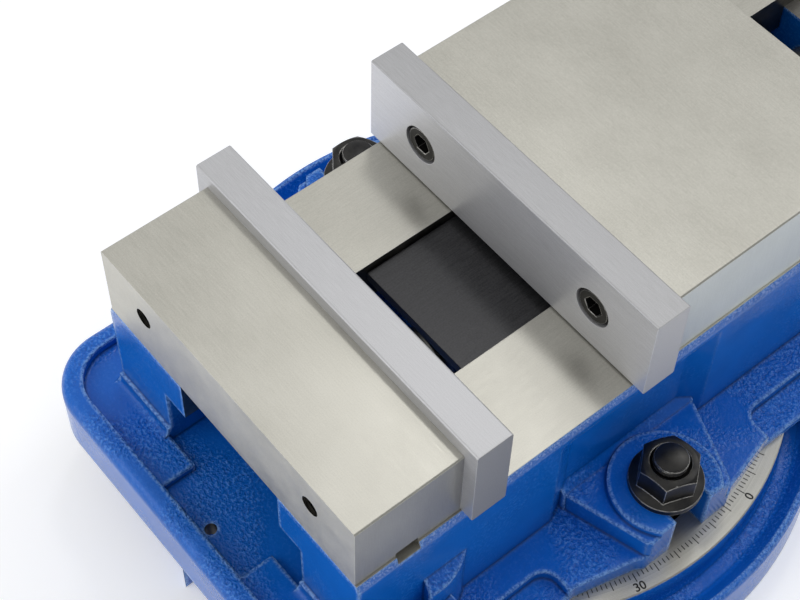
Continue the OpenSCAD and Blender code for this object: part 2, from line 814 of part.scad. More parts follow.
module lead_screw() {
    chamfer = 2;
    color("#6E6E6C") union() {
        rod_y(thread_d, wall_in + collar_t, screw_front - chamfer, 0, axis_z);
        translate([0, screw_front, axis_z]) rotate([90, 0, 0])
            cylinder(d1 = thread_d - 2 * chamfer, d2 = thread_d, h = chamfer);
        rod_y(collar_d, wall_in, wall_in + collar_t, 0, axis_z);
        rod_y(journal_d, lock_back - 2, wall_in, 0, axis_z);
        translate([0, lock_back - 2, axis_z]) rotate([90, 0, 0]) hex_z(hex_af, hex_len);
    }
}

module lock_collar() {
    color("#3A3A3A") difference() {
        union() {
            rod_y(lock_d, lock_back + 1, lock_back + lock_t - 1, 0, axis_z);
            translate([0, lock_back + 1, axis_z]) rotate([90, 0, 0])
                cylinder(d1 = lock_d, d2 = lock_d - 2, h = 1);
            translate([0, lock_back + lock_t, axis_z]) rotate([90, 0, 0])
                cylinder(d1 = lock_d - 2, d2 = lock_d, h = 1);
        }
        rod_y(journal_d, lock_back - 1, lock_back + lock_t + 1, 0, axis_z);
        translate([0, lock_back + lock_t / 2, axis_z]) cylinder(d = 6, h = lock_d);
    }
}

module lock_collar_screw() {
    color("#2A2A2A") difference() {
        translate([0, lock_back + lock_t / 2, axis_z + journal_d / 2]) cylinder(d = 6, h = 7);
        translate([0, lock_back + lock_t / 2, axis_z + journal_d / 2 + 4]) hex_z(3, 4);
    }
}

// Turns the handle's pieces about the screw's axis to where they stand at rest
module at_rest() {
    translate([0, 0, axis_z]) rotate([0, crank_rest, 0]) translate([0, 0, -axis_z]) children();
}

// Cast crank: hub with a hexagon socket and a tapering arm to the grip
module crank() {
    color("#1558B0") at_rest() difference() {
        union() {
            rod_y(hub_d, hub_back, hub_back + hub_len, 0, axis_z);
            translate([0, hub_back + arm_t, axis_z]) rotate([90, 0, 0]) linear_extrude(arm_t)
                polygon([[-hub_d / 2 + 1.4, 4], [hub_d / 2 - 1.4, 4], [11, crank_r], [-11, crank_r]]);
            rod_y(22, hub_back, hub_back + arm_t, 0, axis_z + crank_r);
        }
        translate([0, hub_back + hub_len + eps, axis_z]) rotate([90, 0, 0]) hex_z(hex_af + 0.2, hex_len + 1);
        rod_y(hex_af - 3, hub_back - 1, hub_back + hub_len, 0, axis_z);
        rod_y(grip_pin_d - 2, hub_back - 1, hub_back + arm_t + 1, 0, axis_z + crank_r);
        translate([0, hub_back + hub_len - 10, axis_z]) rotate([0, 180, 0]) cylinder(d = 8, h = hub_d);
    }
}

module crank_setscrew() {
    z0 = axis_z - hex_af / 2 - 0.1;
    color("#2A2A2A") at_rest() difference() {
        translate([0, hub_back + hub_len - 10, z0 - 8]) cylinder(d = 8, h = 8);
        translate([0, hub_back + hub_len - 10, z0 - 9]) hex_z(4, 5);
    }
}

module grip_pin() {
    z = axis_z + crank_r;
    color("#8A8A88") at_rest() union() {
        rod_y(grip_pin_d - 2, hub_back, hub_back + arm_t, 0, z);
        rod_y(grip_pin_d, hub_back - grip_len - 1, hub_back, 0, z);
        rod_y(grip_pin_d + 6, hub_back - grip_len - 4.5, hub_back - grip_len - 0.8, 0, z);
    }
}

// Turning grip with a barrel shape
module crank_grip() {
    z = axis_z + crank_r;
    color("#1C1C1C") at_rest() translate([0, hub_back - 0.4, z]) rotate([90, 0, 0]) rotate_extrude()
        polygon([[grip_pin_d / 2 + fit, 0], [grip_d / 2 - 5, 0], [grip_d / 2 - 3, 2], [grip_d / 2 - 1, 22],
            [grip_d / 2, 45], [grip_d / 2 - 0.6, 66], [grip_d / 2 - 2, 84], [grip_d / 2 - 5, grip_len - 0.4],
            [grip_pin_d / 2 + fit, grip_len - 0.4]]);
}

swivel_base();
pivot_pin();
vise_body();
fixed_jaw();
fixed_jaw_key();
fixed_jaw_bolts();
fixed_jaw_plate();
fixed_plate_screws();
clamp_studs();
clamp_nut_near();
clamp_nut_far();
bearing_cap();
bearing_cap_screws();
screw_bush();
screw_seal();
wall_race();
movable_jaw();
movable_jaw_plate();
movable_plate_screws();
lead_nut();
half_ball();
adjusting_screw();
chip_guard();
chip_guard_screws();
lead_screw();
collar_race();
needle_cage();
lock_collar();
lock_collar_screw();
crank();
crank_setscrew();
grip_pin();
crank_grip();
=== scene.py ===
"""Looks of a swivel machine vise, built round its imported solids.

Run as a script by the renderer. Blender works in metres, in the frame of the solids: Z up on the swivel
axis, the screw along Y, the handle towards -Y. The vise's shapes are worked out in millimetres, and MM turns
them to metres. The studio is in metres.
"""

import math

import bmesh
import bpy
from bpy.props import FloatProperty, FloatVectorProperty, IntProperty, PointerProperty
from mathutils import Matrix, Vector


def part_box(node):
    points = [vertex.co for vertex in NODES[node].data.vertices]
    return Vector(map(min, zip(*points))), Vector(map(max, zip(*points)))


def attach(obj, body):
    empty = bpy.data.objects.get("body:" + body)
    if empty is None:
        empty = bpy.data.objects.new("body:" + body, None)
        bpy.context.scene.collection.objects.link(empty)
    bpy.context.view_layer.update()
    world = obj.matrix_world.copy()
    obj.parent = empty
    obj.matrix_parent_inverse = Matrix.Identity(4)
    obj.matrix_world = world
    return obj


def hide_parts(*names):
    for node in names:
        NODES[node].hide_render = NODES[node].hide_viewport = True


bl_info = {
    "name": "Swivel machine vise",
    "version": (1, 0, 0),
    "blender": (4, 5, 0),
    "location": "3D View > Sidebar > Vise",
    "description": "Finishes, graduations, threads and studio for a swivel machine vise",
    "category": "Object",
}

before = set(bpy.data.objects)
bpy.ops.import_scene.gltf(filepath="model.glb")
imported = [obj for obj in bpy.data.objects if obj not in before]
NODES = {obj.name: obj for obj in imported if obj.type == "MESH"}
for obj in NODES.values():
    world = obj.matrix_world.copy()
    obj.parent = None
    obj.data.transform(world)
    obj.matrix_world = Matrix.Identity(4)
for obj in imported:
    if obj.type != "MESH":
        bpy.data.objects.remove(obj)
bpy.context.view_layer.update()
MM = 0.001


def box_mm(node):
    """A node's lowest and highest corner in millimetres."""
    low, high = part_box(node)
    return [v / MM for v in low], [v / MM for v in high]


# Sizes read from the solids, in millimetres
BODY_LOW, BODY_HIGH = box_mm("vise_body")
BED_Z = BODY_HIGH[2]
RING_Z = BODY_LOW[2]
JAW_LOW, JAW_HIGH = box_mm("fixed_jaw")
KEY_FLOOR = box_mm("fixed_jaw_key")[0][2]
SCREW_LOW, SCREW_HIGH = box_mm("lead_screw")
AXIS_Z = (SCREW_LOW[2] + SCREW_HIGH[2]) / 2
COLLAR_R = (SCREW_HIGH[2] - SCREW_LOW[2]) / 2
RACE_BACK = box_mm("wall_race")[0][1]
LOCK_BACK = box_mm("lock_collar")[0][1]
STUD_LOW, STUD_HIGH = box_mm("clamp_studs")
NUT_LOW, NUT_HIGH = box_mm("clamp_nut_far")
STUD_X = (NUT_LOW[0] + NUT_HIGH[0]) / 2
PLATE_SCREW_LOW, PLATE_SCREW_HIGH = box_mm("fixed_plate_screws")
PLATE_SCREW_Z = (PLATE_SCREW_LOW[2] + PLATE_SCREW_HIGH[2]) / 2
CAP_HEAD_R = (PLATE_SCREW_HIGH[2] - PLATE_SCREW_LOW[2]) / 2
PLATE_SCREW_X = PLATE_SCREW_HIGH[0] - CAP_HEAD_R

# Sizes that no box shows, as on the solids, in millimetres
THREAD_R = 14.0
JOURNAL_R = 11.0
HEX_HALF = 9.5
HEX_BEHIND_LOCK = 2.0
COLLAR_T = 9.0
STUD_R = 7.0
STUD_DOME = 1.5
TEE_HEAD_H = 8.0
TEE_HEAD_HALF = 12.0
TEE_ENTRY_R = 14.2
TEE_SLOT_FLOOR = RING_Z - 19.0
RING_R = 122.0
KEY_SLOT_TOP = 5.0
PIN_BORE_R = 15.0
SLOT_HALF = 29.3
RAIL_UNDER = BED_Z - 22.0
JAW_FOOT = BED_Z + 5.0
SCREW_POCKET_R = COLLAR_R + 1.0
BEARING_T = 7.0
WALL_FRONT = RACE_BACK + BEARING_T
SCREW_POCKET_FRONT = WALL_FRONT + COLLAR_T + 2.0
PLATE_SCREW_R = 5.0
TAP_R = 4.2
DRAIN_R = 2.5
DRAIN_IN = 14.0

# How the rules for finishes tell faces apart: a face's centre lies within NEAR of the plane or circle that it
# belongs to, a flat face has more than FLAT of its normal along an axis, and an upward one more than UPWARD
NEAR = 0.3
FLAT = 0.99
UPWARD = 0.5

# How far a drawn thread sinks into the hole's wall and a drawn mark stands off the ring, in millimetres
SKIN = 0.02

# The photograph's camera, in metres and degrees
CAMERA_PLACE = (-0.284871, 0.301746, 0.667728)
CAMERA_TURN = (34.5985, -0.9541, -129.3372)
LENS_MM = 80.5626
SENSOR_MM = 36.0

# The studio, in metres: each softbox's place, side and watts, and the tent's linear colours
SOFTBOXES = {
    "key_softbox": ((-0.15, -1.3, 1.5), 0.9, 4.8),
    "top_softbox": ((0.6, -0.6, 1.8), 0.25, 1.9),
    "fill_softbox": ((0.45, 1.35, 0.75), 1.0, 4.5),
}
AIM = (0, 0, 0.08)
FLOOR_HALF = 20.0
FLOOR_Z = -0.0002
DARK_SIDE = (0.22, 0.23, 0.25, 1.0)
HORIZON = (0.5, 0.51, 0.53, 1.0)
ZENITH = (0.8, 0.8, 0.795, 1.0)

# Finishes that more than one operator uses
BASE_PAINT = "gloss_enamel_on_round_casting"
OXIDE = "black_oxide_on_machined_steel"
HARDENED = "hardened_and_ground_steel"
HOLE_PAINTED_SHADE = "drilled_iron_painted_shade"
# Near black: painted shade inside holes and on the jaws' feet down in the slot.
HOLE_PAINTED_SHADE_COLOURS = ("#1E1D1B", "#3B3935")

# The colour Mix node's sockets go by number, because its other kinds use the same names
SHARE, UNDER, OVER = 0, 6, 7
COLOUR_MIX = {"out": 2, "data_type": "RGBA"}

# Rays that look for an edge from each point
EDGE_SAMPLES = 6


# Tools


def linear(hex_colour):
    """An sRGB colour written #rrggbb as linear RGBA."""
    parts = [int(hex_colour[i : i + 2], 16) / 255 for i in (1, 3, 5)]
    return [p / 12.92 if p <= 0.04045 else ((p + 0.055) / 1.055) ** 2.4 for p in parts] + [1.0]


def feed(node, inputs):
    """Sets a node's inputs. Each takes a number, a colour, a #rrggbb colour or another node's output."""
    for key, value in inputs.items():
        socket = node.inputs[key]
        if isinstance(value, bpy.types.NodeSocket):
            node.id_data.links.new(value, socket)
        else:
            socket.default_value = linear(value) if isinstance(value, str) else value


def add(tree, kind, inputs, out=0, **own):
    """Adds a shader node with its settings and links, and gives back one of its outputs."""
    made = tree.nodes.new("ShaderNode" + kind)
    for key, value in own.items():
        setattr(made, key, value)
    feed(made, inputs)
    return made.outputs[out]


def start(name):
    """A named material, its tree, its surface shader and the object coordinates that every pattern uses."""
    made = bpy.data.materials.new(name)
    made.use_nodes = True
    tree = made.node_tree
    return made, tree, tree.nodes["Principled BSDF"], add(tree, "TexCoord", {}, "Object")


def per_metre(size_mm):
    """The pattern scale whose features are size_mm across."""
    return 1.0 / (size_mm * MM)


def grain(size_mm):
    """The pattern scale of features that are size_mm = (x, y, z) long, for a stretched pattern."""
    return [per_metre(s) for s in size_mm]


def between(value, low, high, start_at=0.3, end_at=0.7):
    """A MapRange node's inputs that turn start_at to end_at into low to high. By default start_at and end_at
    are the span that a noise mostly keeps to."""
    return {"Value": value, "From Min": start_at, "From Max": end_at, "To Min": low, "To Max": high}


def shared(tree, *parts):
    """One pattern made of several, each with its share."""
    total = 0.0
    for share, pattern in parts:
        total = add(tree, "Math", {0: pattern, 1: share, 2: total}, operation="MULTIPLY_ADD")
    return total


def worn_edges(tree, width_mm, low, high):
    """1 on sharp edges, outer and inner alike, and 0 elsewhere, from how far a rounded normal leaves the true
    one. The rounded normal comes back too."""
    rounded = add(tree, "Bevel", {"Radius": width_mm * MM}, samples=EDGE_SAMPLES)
    flat = add(tree, "NewGeometry", {}, "Normal")
    alike = add(tree, "VectorMath", {0: rounded, 1: flat}, "Value", operation="DOT_PRODUCT")
    turn = add(tree, "Math", {0: 1.0, 1: alike}, operation="SUBTRACT")
    return add(tree, "MapRange", between(turn, 0.0, 1.0, low, high)), rounded


# Finishes


def sand_colours(tree, paint, sand, depth):
    """The crowns of the sand's pebbles take a paler blue, a painted glint, and its hollows a darker blue,
    painted shade.
    """
    glint_share = add(tree, "MapRange", between(sand, 0.0, 0.42, 0.53, 0.62))
    glint_share = add(tree, "Math", {0: glint_share, 1: depth}, operation="MULTIPLY")
    pit_shade_share = add(tree, "MapRange", between(sand, 0.4, 0.0, 0.36, 0.48))
    pit_shade_share = add(tree, "Math", {0: pit_shade_share, 1: depth}, operation="MULTIPLY")
    paint = add(tree, "Mix", {SHARE: pit_shade_share, UNDER: paint, OVER: "#003E8C"}, **COLOUR_MIX)
    return add(tree, "Mix", {SHARE: glint_share, UNDER: paint, OVER: "#62A6F6"}, **COLOUR_MIX)


def edge_colours(tree, paint, bent, sand):
    """Outer edges take a broken pale line, partly paint pulled back and partly painted highlight, and inner
    corners a darker blue, painted shade.
    """
    within = {"Distance": 1.8 * MM}
    thickness = add(
        tree, "AmbientOcclusion", within, "AO", samples=EDGE_SAMPLES, inside=True, only_local=True
    )
    outer = add(tree, "MapRange", between(thickness, 0.0, 1.0, 0.97, 0.72))
    inner = add(tree, "Math", {0: bent, 1: outer}, operation="SUBTRACT", use_clamp=True)
    # Painted shade: inner corners darkened to a deep blue.
    paint = add(tree, "Mix", {SHARE: inner, UNDER: paint, OVER: "#003A80"}, **COLOUR_MIX)
    broken = add(tree, "MapRange", between(sand, 0.15, 0.9, 0.42, 0.58))
    # Painted highlight, with the paint thinned on outer edges: a broken pale line.
    wear_and_highlight = add(tree, "Math", {0: outer, 1: broken}, operation="MULTIPLY")
    return add(tree, "Mix", {SHARE: wear_and_highlight, UNDER: paint, OVER: "#8CBBF8"}, **COLOUR_MIX)


def scuffed_top(tree, paint, place, up):
    """Along the machined top edge the cutter and the packing have broken the paint to pale specks."""
    from_z, full_z = (BED_Z - 4.5) * MM, (BED_Z - 0.8) * MM
    height = add(tree, "SeparateXYZ", {0: place}, "Z")
    near_top = add(tree, "MapRange", between(height, 0.0, 1.0, from_z, full_z))
    sideways = add(tree, "MapRange", between(up, 1.0, 0.0, 0.5, 0.9))
    specks = {"Vector": place, "Scale": per_metre(0.9), "Detail": 2.0, "Roughness": 0.65}
    flakes = add(tree, "MapRange", between(add(tree, "TexNoise", specks), 0.0, 0.8, 0.5, 0.6))
    flakes = add(tree, "Math", {0: flakes, 1: near_top}, operation="MULTIPLY")
    flakes = add(tree, "Math", {0: flakes, 1: sideways}, operation="MULTIPLY")
    return add(tree, "Mix", {SHARE: flakes, UNDER: paint, OVER: "#8FAEE4"}, **COLOUR_MIX)


def gloss_enamel(name, thin, thick, scuffed=False):
    """Gloss enamel sprayed over a sand casting. Upward faces show the sand as pebbles and are lightened as
    painted light, walls are smoother and so look darker, and thick paint rounds every corner. Real sand
    grains are about
    0.3 mm wide and are drawn 0.7 and 1.3 mm wide to show."""
    made, tree, surface, place = start(name)
    normal = add(tree, "NewGeometry", {}, "Normal")
    up = add(tree, "SeparateXYZ", {0: normal}, "Z")
    upward = add(tree, "MapRange", between(up, 0.3, 1.0, 0.3, 0.85))
    grains = {"Vector": place, "Detail": 1.0, "Roughness": 0.4}
    pebbles = add(tree, "TexNoise", {"Scale": per_metre(1.3), **grains})
    grit = add(tree, "TexNoise", {"Scale": per_metre(0.7), **grains})
    waves = add(tree, "TexNoise", {"Vector": place, "Scale": per_metre(13.0), "Detail": 1.5})
    runs = add(tree, "TexNoise", {"Vector": place, "Scale": per_metre(24.0), "Detail": 3.0, "Roughness": 0.6})
    patches = add(tree, "TexNoise", {"Vector": place, "Scale": per_metre(30.0), "Detail": 1.0})
    sandy = add(tree, "MapRange", between(patches, 0.15, 1.0, 0.42, 0.56))
    sand = shared(tree, (0.65, pebbles), (0.35, grit))
    sand_depth = add(tree, "Math", {0: upward, 1: sandy}, operation="MULTIPLY")
    bent, rounded = worn_edges(tree, 2.4, 0.02, 0.12)
    thin_share = add(tree, "MapRange", between(runs, 0.0, 1.0))
    paint = add(tree, "Mix", {SHARE: thin_share, UNDER: thick, OVER: thin}, **COLOUR_MIX)
    # Painted light: upward faces are lightened towards a paler blue, as if lit from above.
    bright = add(tree, "Math", {0: upward, 1: 0.5}, operation="MULTIPLY")
    paint = add(tree, "Mix", {SHARE: bright, UNDER: paint, OVER: "#1872E2"}, **COLOUR_MIX)
    paint = sand_colours(tree, paint, sand, sand_depth)
    paint = edge_colours(tree, paint, bent, shared(tree, (0.5, grit), (0.5, pebbles)))
    if scuffed:
        paint = scuffed_top(tree, paint, place, up)
    rough = add(tree, "MapRange", between(grit, 0.13, 0.22))
    swell = add(tree, "Bump", {"Strength": 0.4, "Distance": 0.5 * MM, "Height": waves, "Normal": rounded})
    relief = add(tree, "Math", {0: sand, 1: sand_depth}, operation="MULTIPLY")
    bump = add(tree, "Bump", {"Strength": 1.0, "Distance": 0.9 * MM, "Height": relief, "Normal": swell})
    feed(surface, {"IOR": 1.46, "Specular IOR Level": 0.3, "Coat Weight": 0.1, "Coat Roughness": 0.05})
    feed(surface, {"Base Color": paint, "Roughness": rough, "Normal": bump, "Coat Normal": bump})
    return made


def ground_iron(name, dark, light, length_mm=(7.0, 0.45, 7.0)):
    """Grey iron, surface ground dry: a warm grey with short fine scratches across the block and a soft,
    slightly uneven sheen. Real scratches are 0.02 mm wide and are drawn about 0.4 mm wide to show."""
    made, tree, surface, place = start(name)
    along = add(tree, "Mapping", {"Vector": place, "Scale": grain(length_mm)})
    scratches = add(tree, "TexNoise", {"Vector": along, "Scale": 1.0, "Detail": 3.0, "Roughness": 0.65})
    open_pores = {"Vector": place, "Scale": per_metre(0.55), "Detail": 2.0, "Roughness": 0.7}
    pores = add(tree, "TexNoise", open_pores)
    cloud = add(tree, "TexNoise", {"Vector": place, "Scale": per_metre(30.0), "Detail": 2.0})
    tone = shared(tree, (0.35, scratches), (0.4, pores), (0.25, cloud))
    light_share = add(tree, "MapRange", between(tone, 0.0, 1.0, 0.36, 0.64))
    iron = add(tree, "Mix", {SHARE: light_share, UNDER: dark, OVER: light}, **COLOUR_MIX)
    pale_edge, rounded = worn_edges(tree, 0.3, 0.05, 0.3)
    # Painted highlight along every sharp edge, inner corners too, and on outer edges also real burnish.
    iron = add(tree, "Mix", {SHARE: pale_edge, UNDER: iron, OVER: "#E2E1DC"}, **COLOUR_MIX)
    rough = add(tree, "MapRange", between(shared(tree, (0.5, pores), (0.5, scratches)), 0.30, 0.42))
    relief = shared(tree, (1.0, scratches), (1.0, pores))
    bump = add(tree, "Bump", {"Strength": 0.22, "Distance": 0.03 * MM, "Height": relief, "Normal": rounded})
    feed(surface, {"Metallic": 0.8, "Base Color": iron, "Roughness": rough, "Normal": bump})
    return made


def hardened_steel(name, dark, light):
    """Tool steel, hardened and finely ground along its length: a cooler grey than the iron, closer grain. The
    scratches are 0.01 mm wide on the real one and are drawn 0.3 mm wide. Metallic stays well under 1, so that
    the plates look evenly pale under only three lamps."""
    made, tree, surface, place = start(name)
    along = add(tree, "Mapping", {"Vector": place, "Scale": grain((9.0, 0.3, 0.3))})
    scratches = add(tree, "TexNoise", {"Vector": along, "Scale": 1.0, "Detail": 3.0, "Roughness": 0.6})
    pores = add(tree, "TexNoise", {"Vector": place, "Scale": per_metre(0.4), "Detail": 2.0, "Roughness": 0.7})
    tone = shared(tree, (0.6, scratches), (0.4, pores))
    light_share = add(tree, "MapRange", between(tone, 0.0, 1.0, 0.36, 0.64))
    steel = add(tree, "Mix", {SHARE: light_share, UNDER: dark, OVER: light}, **COLOUR_MIX)
    pale_edge, rounded = worn_edges(tree, 0.3, 0.05, 0.3)
    # Painted highlight along every sharp edge, inner corners too, and on outer edges also real burnish.
    steel = add(tree, "Mix", {SHARE: pale_edge, UNDER: steel, OVER: "#E0E0E2"}, **COLOUR_MIX)
    rough = add(tree, "MapRange", between(scratches, 0.34, 0.44))
    relief = {"Strength": 0.15, "Distance": 0.02 * MM, "Height": scratches, "Normal": rounded}
    bump = add(tree, "Bump", relief)
    feed(surface, {"Metallic": 0.42, "Base Color": steel, "Roughness": rough, "Normal": bump})
    return made


def turned_metal(name, dark, light, feed_mm=0.5, about_y=False):
    """A face or a rod cut on a lathe: fine rings round the axis that draw the light into arcs. The feed lines
    are 0.1 mm apart on the real one and are drawn feed_mm apart."""
    made, tree, surface, place = start(name)
    if about_y:
        reach = add(tree, "SeparateXYZ", {0: place}, "Y")
    else:
        flat = add(tree, "VectorMath", {0: place, 1: (1.0, 1.0, 0.0)}, operation="MULTIPLY")
        reach = add(tree, "VectorMath", {0: flat}, "Value", operation="LENGTH")
    rings = {"W": reach, "Scale": per_metre(feed_mm), "Detail": 3.0}
    lines = add(tree, "TexNoise", rings, noise_dimensions="1D")
    pores = add(tree, "TexNoise", {"Vector": place, "Scale": per_metre(0.6), "Detail": 2.0, "Roughness": 0.6})
    cloud = add(tree, "TexNoise", {"Vector": place, "Scale": per_metre(18.0), "Detail": 2.0})
    tone = shared(tree, (0.45, lines), (0.35, pores), (0.2, cloud))
    light_share = add(tree, "MapRange", between(tone, 0.0, 1.0, 0.34, 0.66))
    metal = add(tree, "Mix", {SHARE: light_share, UNDER: dark, OVER: light}, **COLOUR_MIX)
    rough = add(tree, "MapRange", between(tone, 0.28, 0.42))
    bump = add(tree, "Bump", {"Strength": 0.2, "Distance": 0.03 * MM, "Height": lines})
    feed(surface, {"Metallic": 0.85, "Base Color": metal, "Roughness": rough, "Normal": bump})
    return made


def black_oxide():
    """Hot black oxide on machined steel, oiled: near black with a satin sheen, chafed to bright metal along
    its edges, where spanners and keys touch it. Its etched tooth is drawn 0.6 mm wide to show."""
    made, tree, surface, place = start(OXIDE)
    pale_edge, rounded = worn_edges(tree, 0.6, 0.01, 0.07)
    rubbing = {"Vector": place, "Scale": per_metre(2.2), "Detail": 3.0, "Roughness": 0.6}
    kept = add(tree, "MapRange", between(add(tree, "TexNoise", rubbing), 0.35, 1.0, 0.35, 0.55))
    pale_edge = add(tree, "Math", {0: pale_edge, 1: kept}, operation="MULTIPLY")
    oil = add(tree, "TexNoise", {"Vector": place, "Scale": per_metre(6.0), "Detail": 3.0, "Roughness": 0.6})
    light_share = add(tree, "MapRange", between(oil, 0.0, 1.0))
    film = add(tree, "Mix", {SHARE: light_share, UNDER: "#2A2A2B", OVER: "#403F3D"}, **COLOUR_MIX)
    colour = add(tree, "Mix", {SHARE: pale_edge, UNDER: film, OVER: "#DAD8D2"}, **COLOUR_MIX)
    tooth = add(tree, "TexNoise", {"Vector": place, "Scale": per_metre(0.6), "Detail": 2.0, "Roughness": 0.6})
    rough = add(tree, "MapRange", between(tooth, 0.28, 0.42))
    bump = add(tree, "Bump", {"Strength": 0.25, "Distance": 0.05 * MM, "Height": tooth, "Normal": rounded})
    feed(surface, {"Metallic": 0.85, "Base Color": colour, "Roughness": rough, "Normal": bump})
    return made


def satin_black_plate():
    """Sheet steel with a satin black coat, lightly brushed along the slot so that it shows fine streaks,
    which are drawn 0.5 mm wide to show."""
    made, tree, surface, place = start("satin_black_sheet_steel")
    along = add(tree, "Mapping", {"Vector": place, "Scale": grain((0.5, 7.0, 0.5))})
    streaks = add(tree, "TexNoise", {"Vector": along, "Scale": 1.0, "Detail": 3.0, "Roughness": 0.6})
    grit = add(tree, "TexNoise", {"Vector": place, "Scale": per_metre(0.7), "Detail": 2.0, "Roughness": 0.6})
    tone = shared(tree, (0.5, streaks), (0.5, grit))
    light_share = add(tree, "MapRange", between(tone, 0.0, 1.0, 0.38, 0.62))
    coat = add(tree, "Mix", {SHARE: light_share, UNDER: "#29292B", OVER: "#3F3F41"}, **COLOUR_MIX)
    rough = add(tree, "MapRange", between(streaks, 0.28, 0.40))
    bump = add(tree, "Bump", {"Strength": 0.2, "Distance": 0.04 * MM, "Height": grit})
    feed(surface, {"Metallic": 0.4, "Base Color": coat, "Roughness": rough, "Normal": bump})
    return made


def turned_bronze():
    """Bearing bronze, bored and faced: warm yellow brown with fine turning lines and darker oil stains. The
    lines are 0.1 mm apart on the real one and are drawn 0.35 mm apart."""
    made, tree, surface, place = start("turned_bearing_bronze")
    along = add(tree, "Mapping", {"Vector": place, "Scale": grain((3.0, 0.35, 3.0))})
    lines = add(tree, "TexNoise", {"Vector": along, "Scale": 1.0, "Detail": 2.0, "Roughness": 0.6})
    stain = add(tree, "TexNoise", {"Vector": place, "Scale": per_metre(5.0), "Detail": 3.0, "Roughness": 0.6})
    light_share = add(tree, "MapRange", between(shared(tree, (0.5, lines), (0.5, stain)), 0.0, 1.0))
    bronze = add(tree, "Mix", {SHARE: light_share, UNDER: "#8A6A35", OVER: "#C39A55"}, **COLOUR_MIX)
    rough = add(tree, "MapRange", between(lines, 0.25, 0.4))
    feed(surface, {"Metallic": 1.0, "Base Color": bronze, "Roughness": rough})
    return made


def moulded_rubber():
    """Nitrile seal, moulded: dull black with a faint bloom."""
    made, tree, surface, place = start("moulded_nitrile_rubber")
    bloom = add(tree, "TexNoise", {"Vector": place, "Scale": per_metre(3.0), "Detail": 3.0, "Roughness": 0.6})
    skin = add(tree, "TexNoise", {"Vector": place, "Scale": per_metre(0.4), "Detail": 2.0})
    light_share = add(tree, "MapRange", between(bloom, 0.0, 1.0))
    rubber = add(tree, "Mix", {SHARE: light_share, UNDER: "#131313", OVER: "#232323"}, **COLOUR_MIX)
    rough = add(tree, "MapRange", between(bloom, 0.5, 0.7))
    bump = add(tree, "Bump", {"Strength": 0.2, "Distance": 0.05 * MM, "Height": skin})
    feed(surface, {"IOR": 1.52, "Base Color": rubber, "Roughness": rough, "Normal": bump})
    return made


def moulded_phenolic():
    """Phenolic grip, moulded and tumbled: hard glossy black with a faint orange peel and handling marks."""
    made, tree, surface, place = start("moulded_phenolic")
    peel = add(tree, "TexNoise", {"Vector": place, "Scale": per_metre(2.2), "Detail": 1.5})
    along = add(tree, "Mapping", {"Vector": place, "Scale": grain((0.7, 6.0, 0.7))})
    marks = add(tree, "TexNoise", {"Vector": along, "Scale": 1.0, "Detail": 3.0, "Roughness": 0.6})
    light_share = add(tree, "MapRange", between(marks, 0.0, 1.0))
    phenolic = add(tree, "Mix", {SHARE: light_share, UNDER: "#0F0F10", OVER: "#1D1D1F"}, **COLOUR_MIX)
    rough = add(tree, "MapRange", between(marks, 0.16, 0.3))
    bump = add(tree, "Bump", {"Strength": 0.15, "Distance": 0.08 * MM, "Height": peel})
    feed(surface, {"IOR": 1.6, "Base Color": phenolic, "Roughness": rough, "Normal": bump})
    return made


def milled_iron(name, dark="#5A5956", light="#7C7A75"):
    """Cast iron, milled or drilled: dark grey with broad cutter marks and a little oil in them. The near
    black given to holes is painted shade, and the dark grey on the slot's walls stands in part for the slot's
    shade.
    """
    made, tree, surface, place = start(name)
    along = add(tree, "Mapping", {"Vector": place, "Scale": grain((0.6, 5.0, 3.0))})
    marks = add(tree, "TexNoise", {"Vector": along, "Scale": 1.0, "Detail": 3.0, "Roughness": 0.6})
    oil = add(tree, "TexNoise", {"Vector": place, "Scale": per_metre(9.0), "Detail": 3.0, "Roughness": 0.6})
    light_share = add(tree, "MapRange", between(shared(tree, (0.5, marks), (0.5, oil)), 0.0, 1.0))
    iron = add(tree, "Mix", {SHARE: light_share, UNDER: dark, OVER: light}, **COLOUR_MIX)
    rough = add(tree, "MapRange", between(oil, 0.3, 0.5))
    bump = add(tree, "Bump", {"Strength": 0.2, "Distance": 0.05 * MM, "Height": marks})
    feed(surface, {"Metallic": 1.0, "Base Color": iron, "Roughness": rough, "Normal": bump})
    return made


def etched_mark():
    """Lines and figures etched in the ring and inked: flat dark grey, a bit paler where the ink is thin."""
    made, tree, surface, place = start("acid_etched_and_inked_iron")
    thin = add(tree, "TexNoise", {"Vector": place, "Scale": per_metre(0.7), "Detail": 2.0, "Roughness": 0.6})
    light_share = add(tree, "MapRange", between(thin, 0.0, 1.0))
    ink = add(tree, "Mix", {SHARE: light_share, UNDER: "#171614", OVER: "#2E2C29"}, **COLOUR_MIX)
    rough = add(tree, "MapRange", between(thin, 0.5, 0.7))
    feed(surface, {"Metallic": 0.3, "Base Color": ink, "Roughness": rough})
    return made


def backdrop_paper(colour):
    """Seamless studio paper, matt, with a little light of its own so that it stays paler than the vise."""
    made, tree, surface, place = start("seamless_paper")
    fibre = add(tree, "TexNoise", {"Vector": place, "Scale": per_metre(3.0), "Detail": 3.0, "Roughness": 0.6})
    light_share = add(tree, "MapRange", between(fibre, 0.0, 1.0))
    shadow = [c * 0.985 for c in colour[:3]] + [1.0]
    paper = add(tree, "Mix", {SHARE: light_share, UNDER: shadow, OVER: colour}, **COLOUR_MIX)
    rough = add(tree, "MapRange", between(fibre, 0.85, 0.95))
    feed(surface, {"IOR": 1.3, "Emission Color": colour, "Emission Strength": 0.34})
    feed(surface, {"Base Color": paper, "Roughness": rough})
    return made


# Which finish a face takes, by its centre in millimetres and its normal


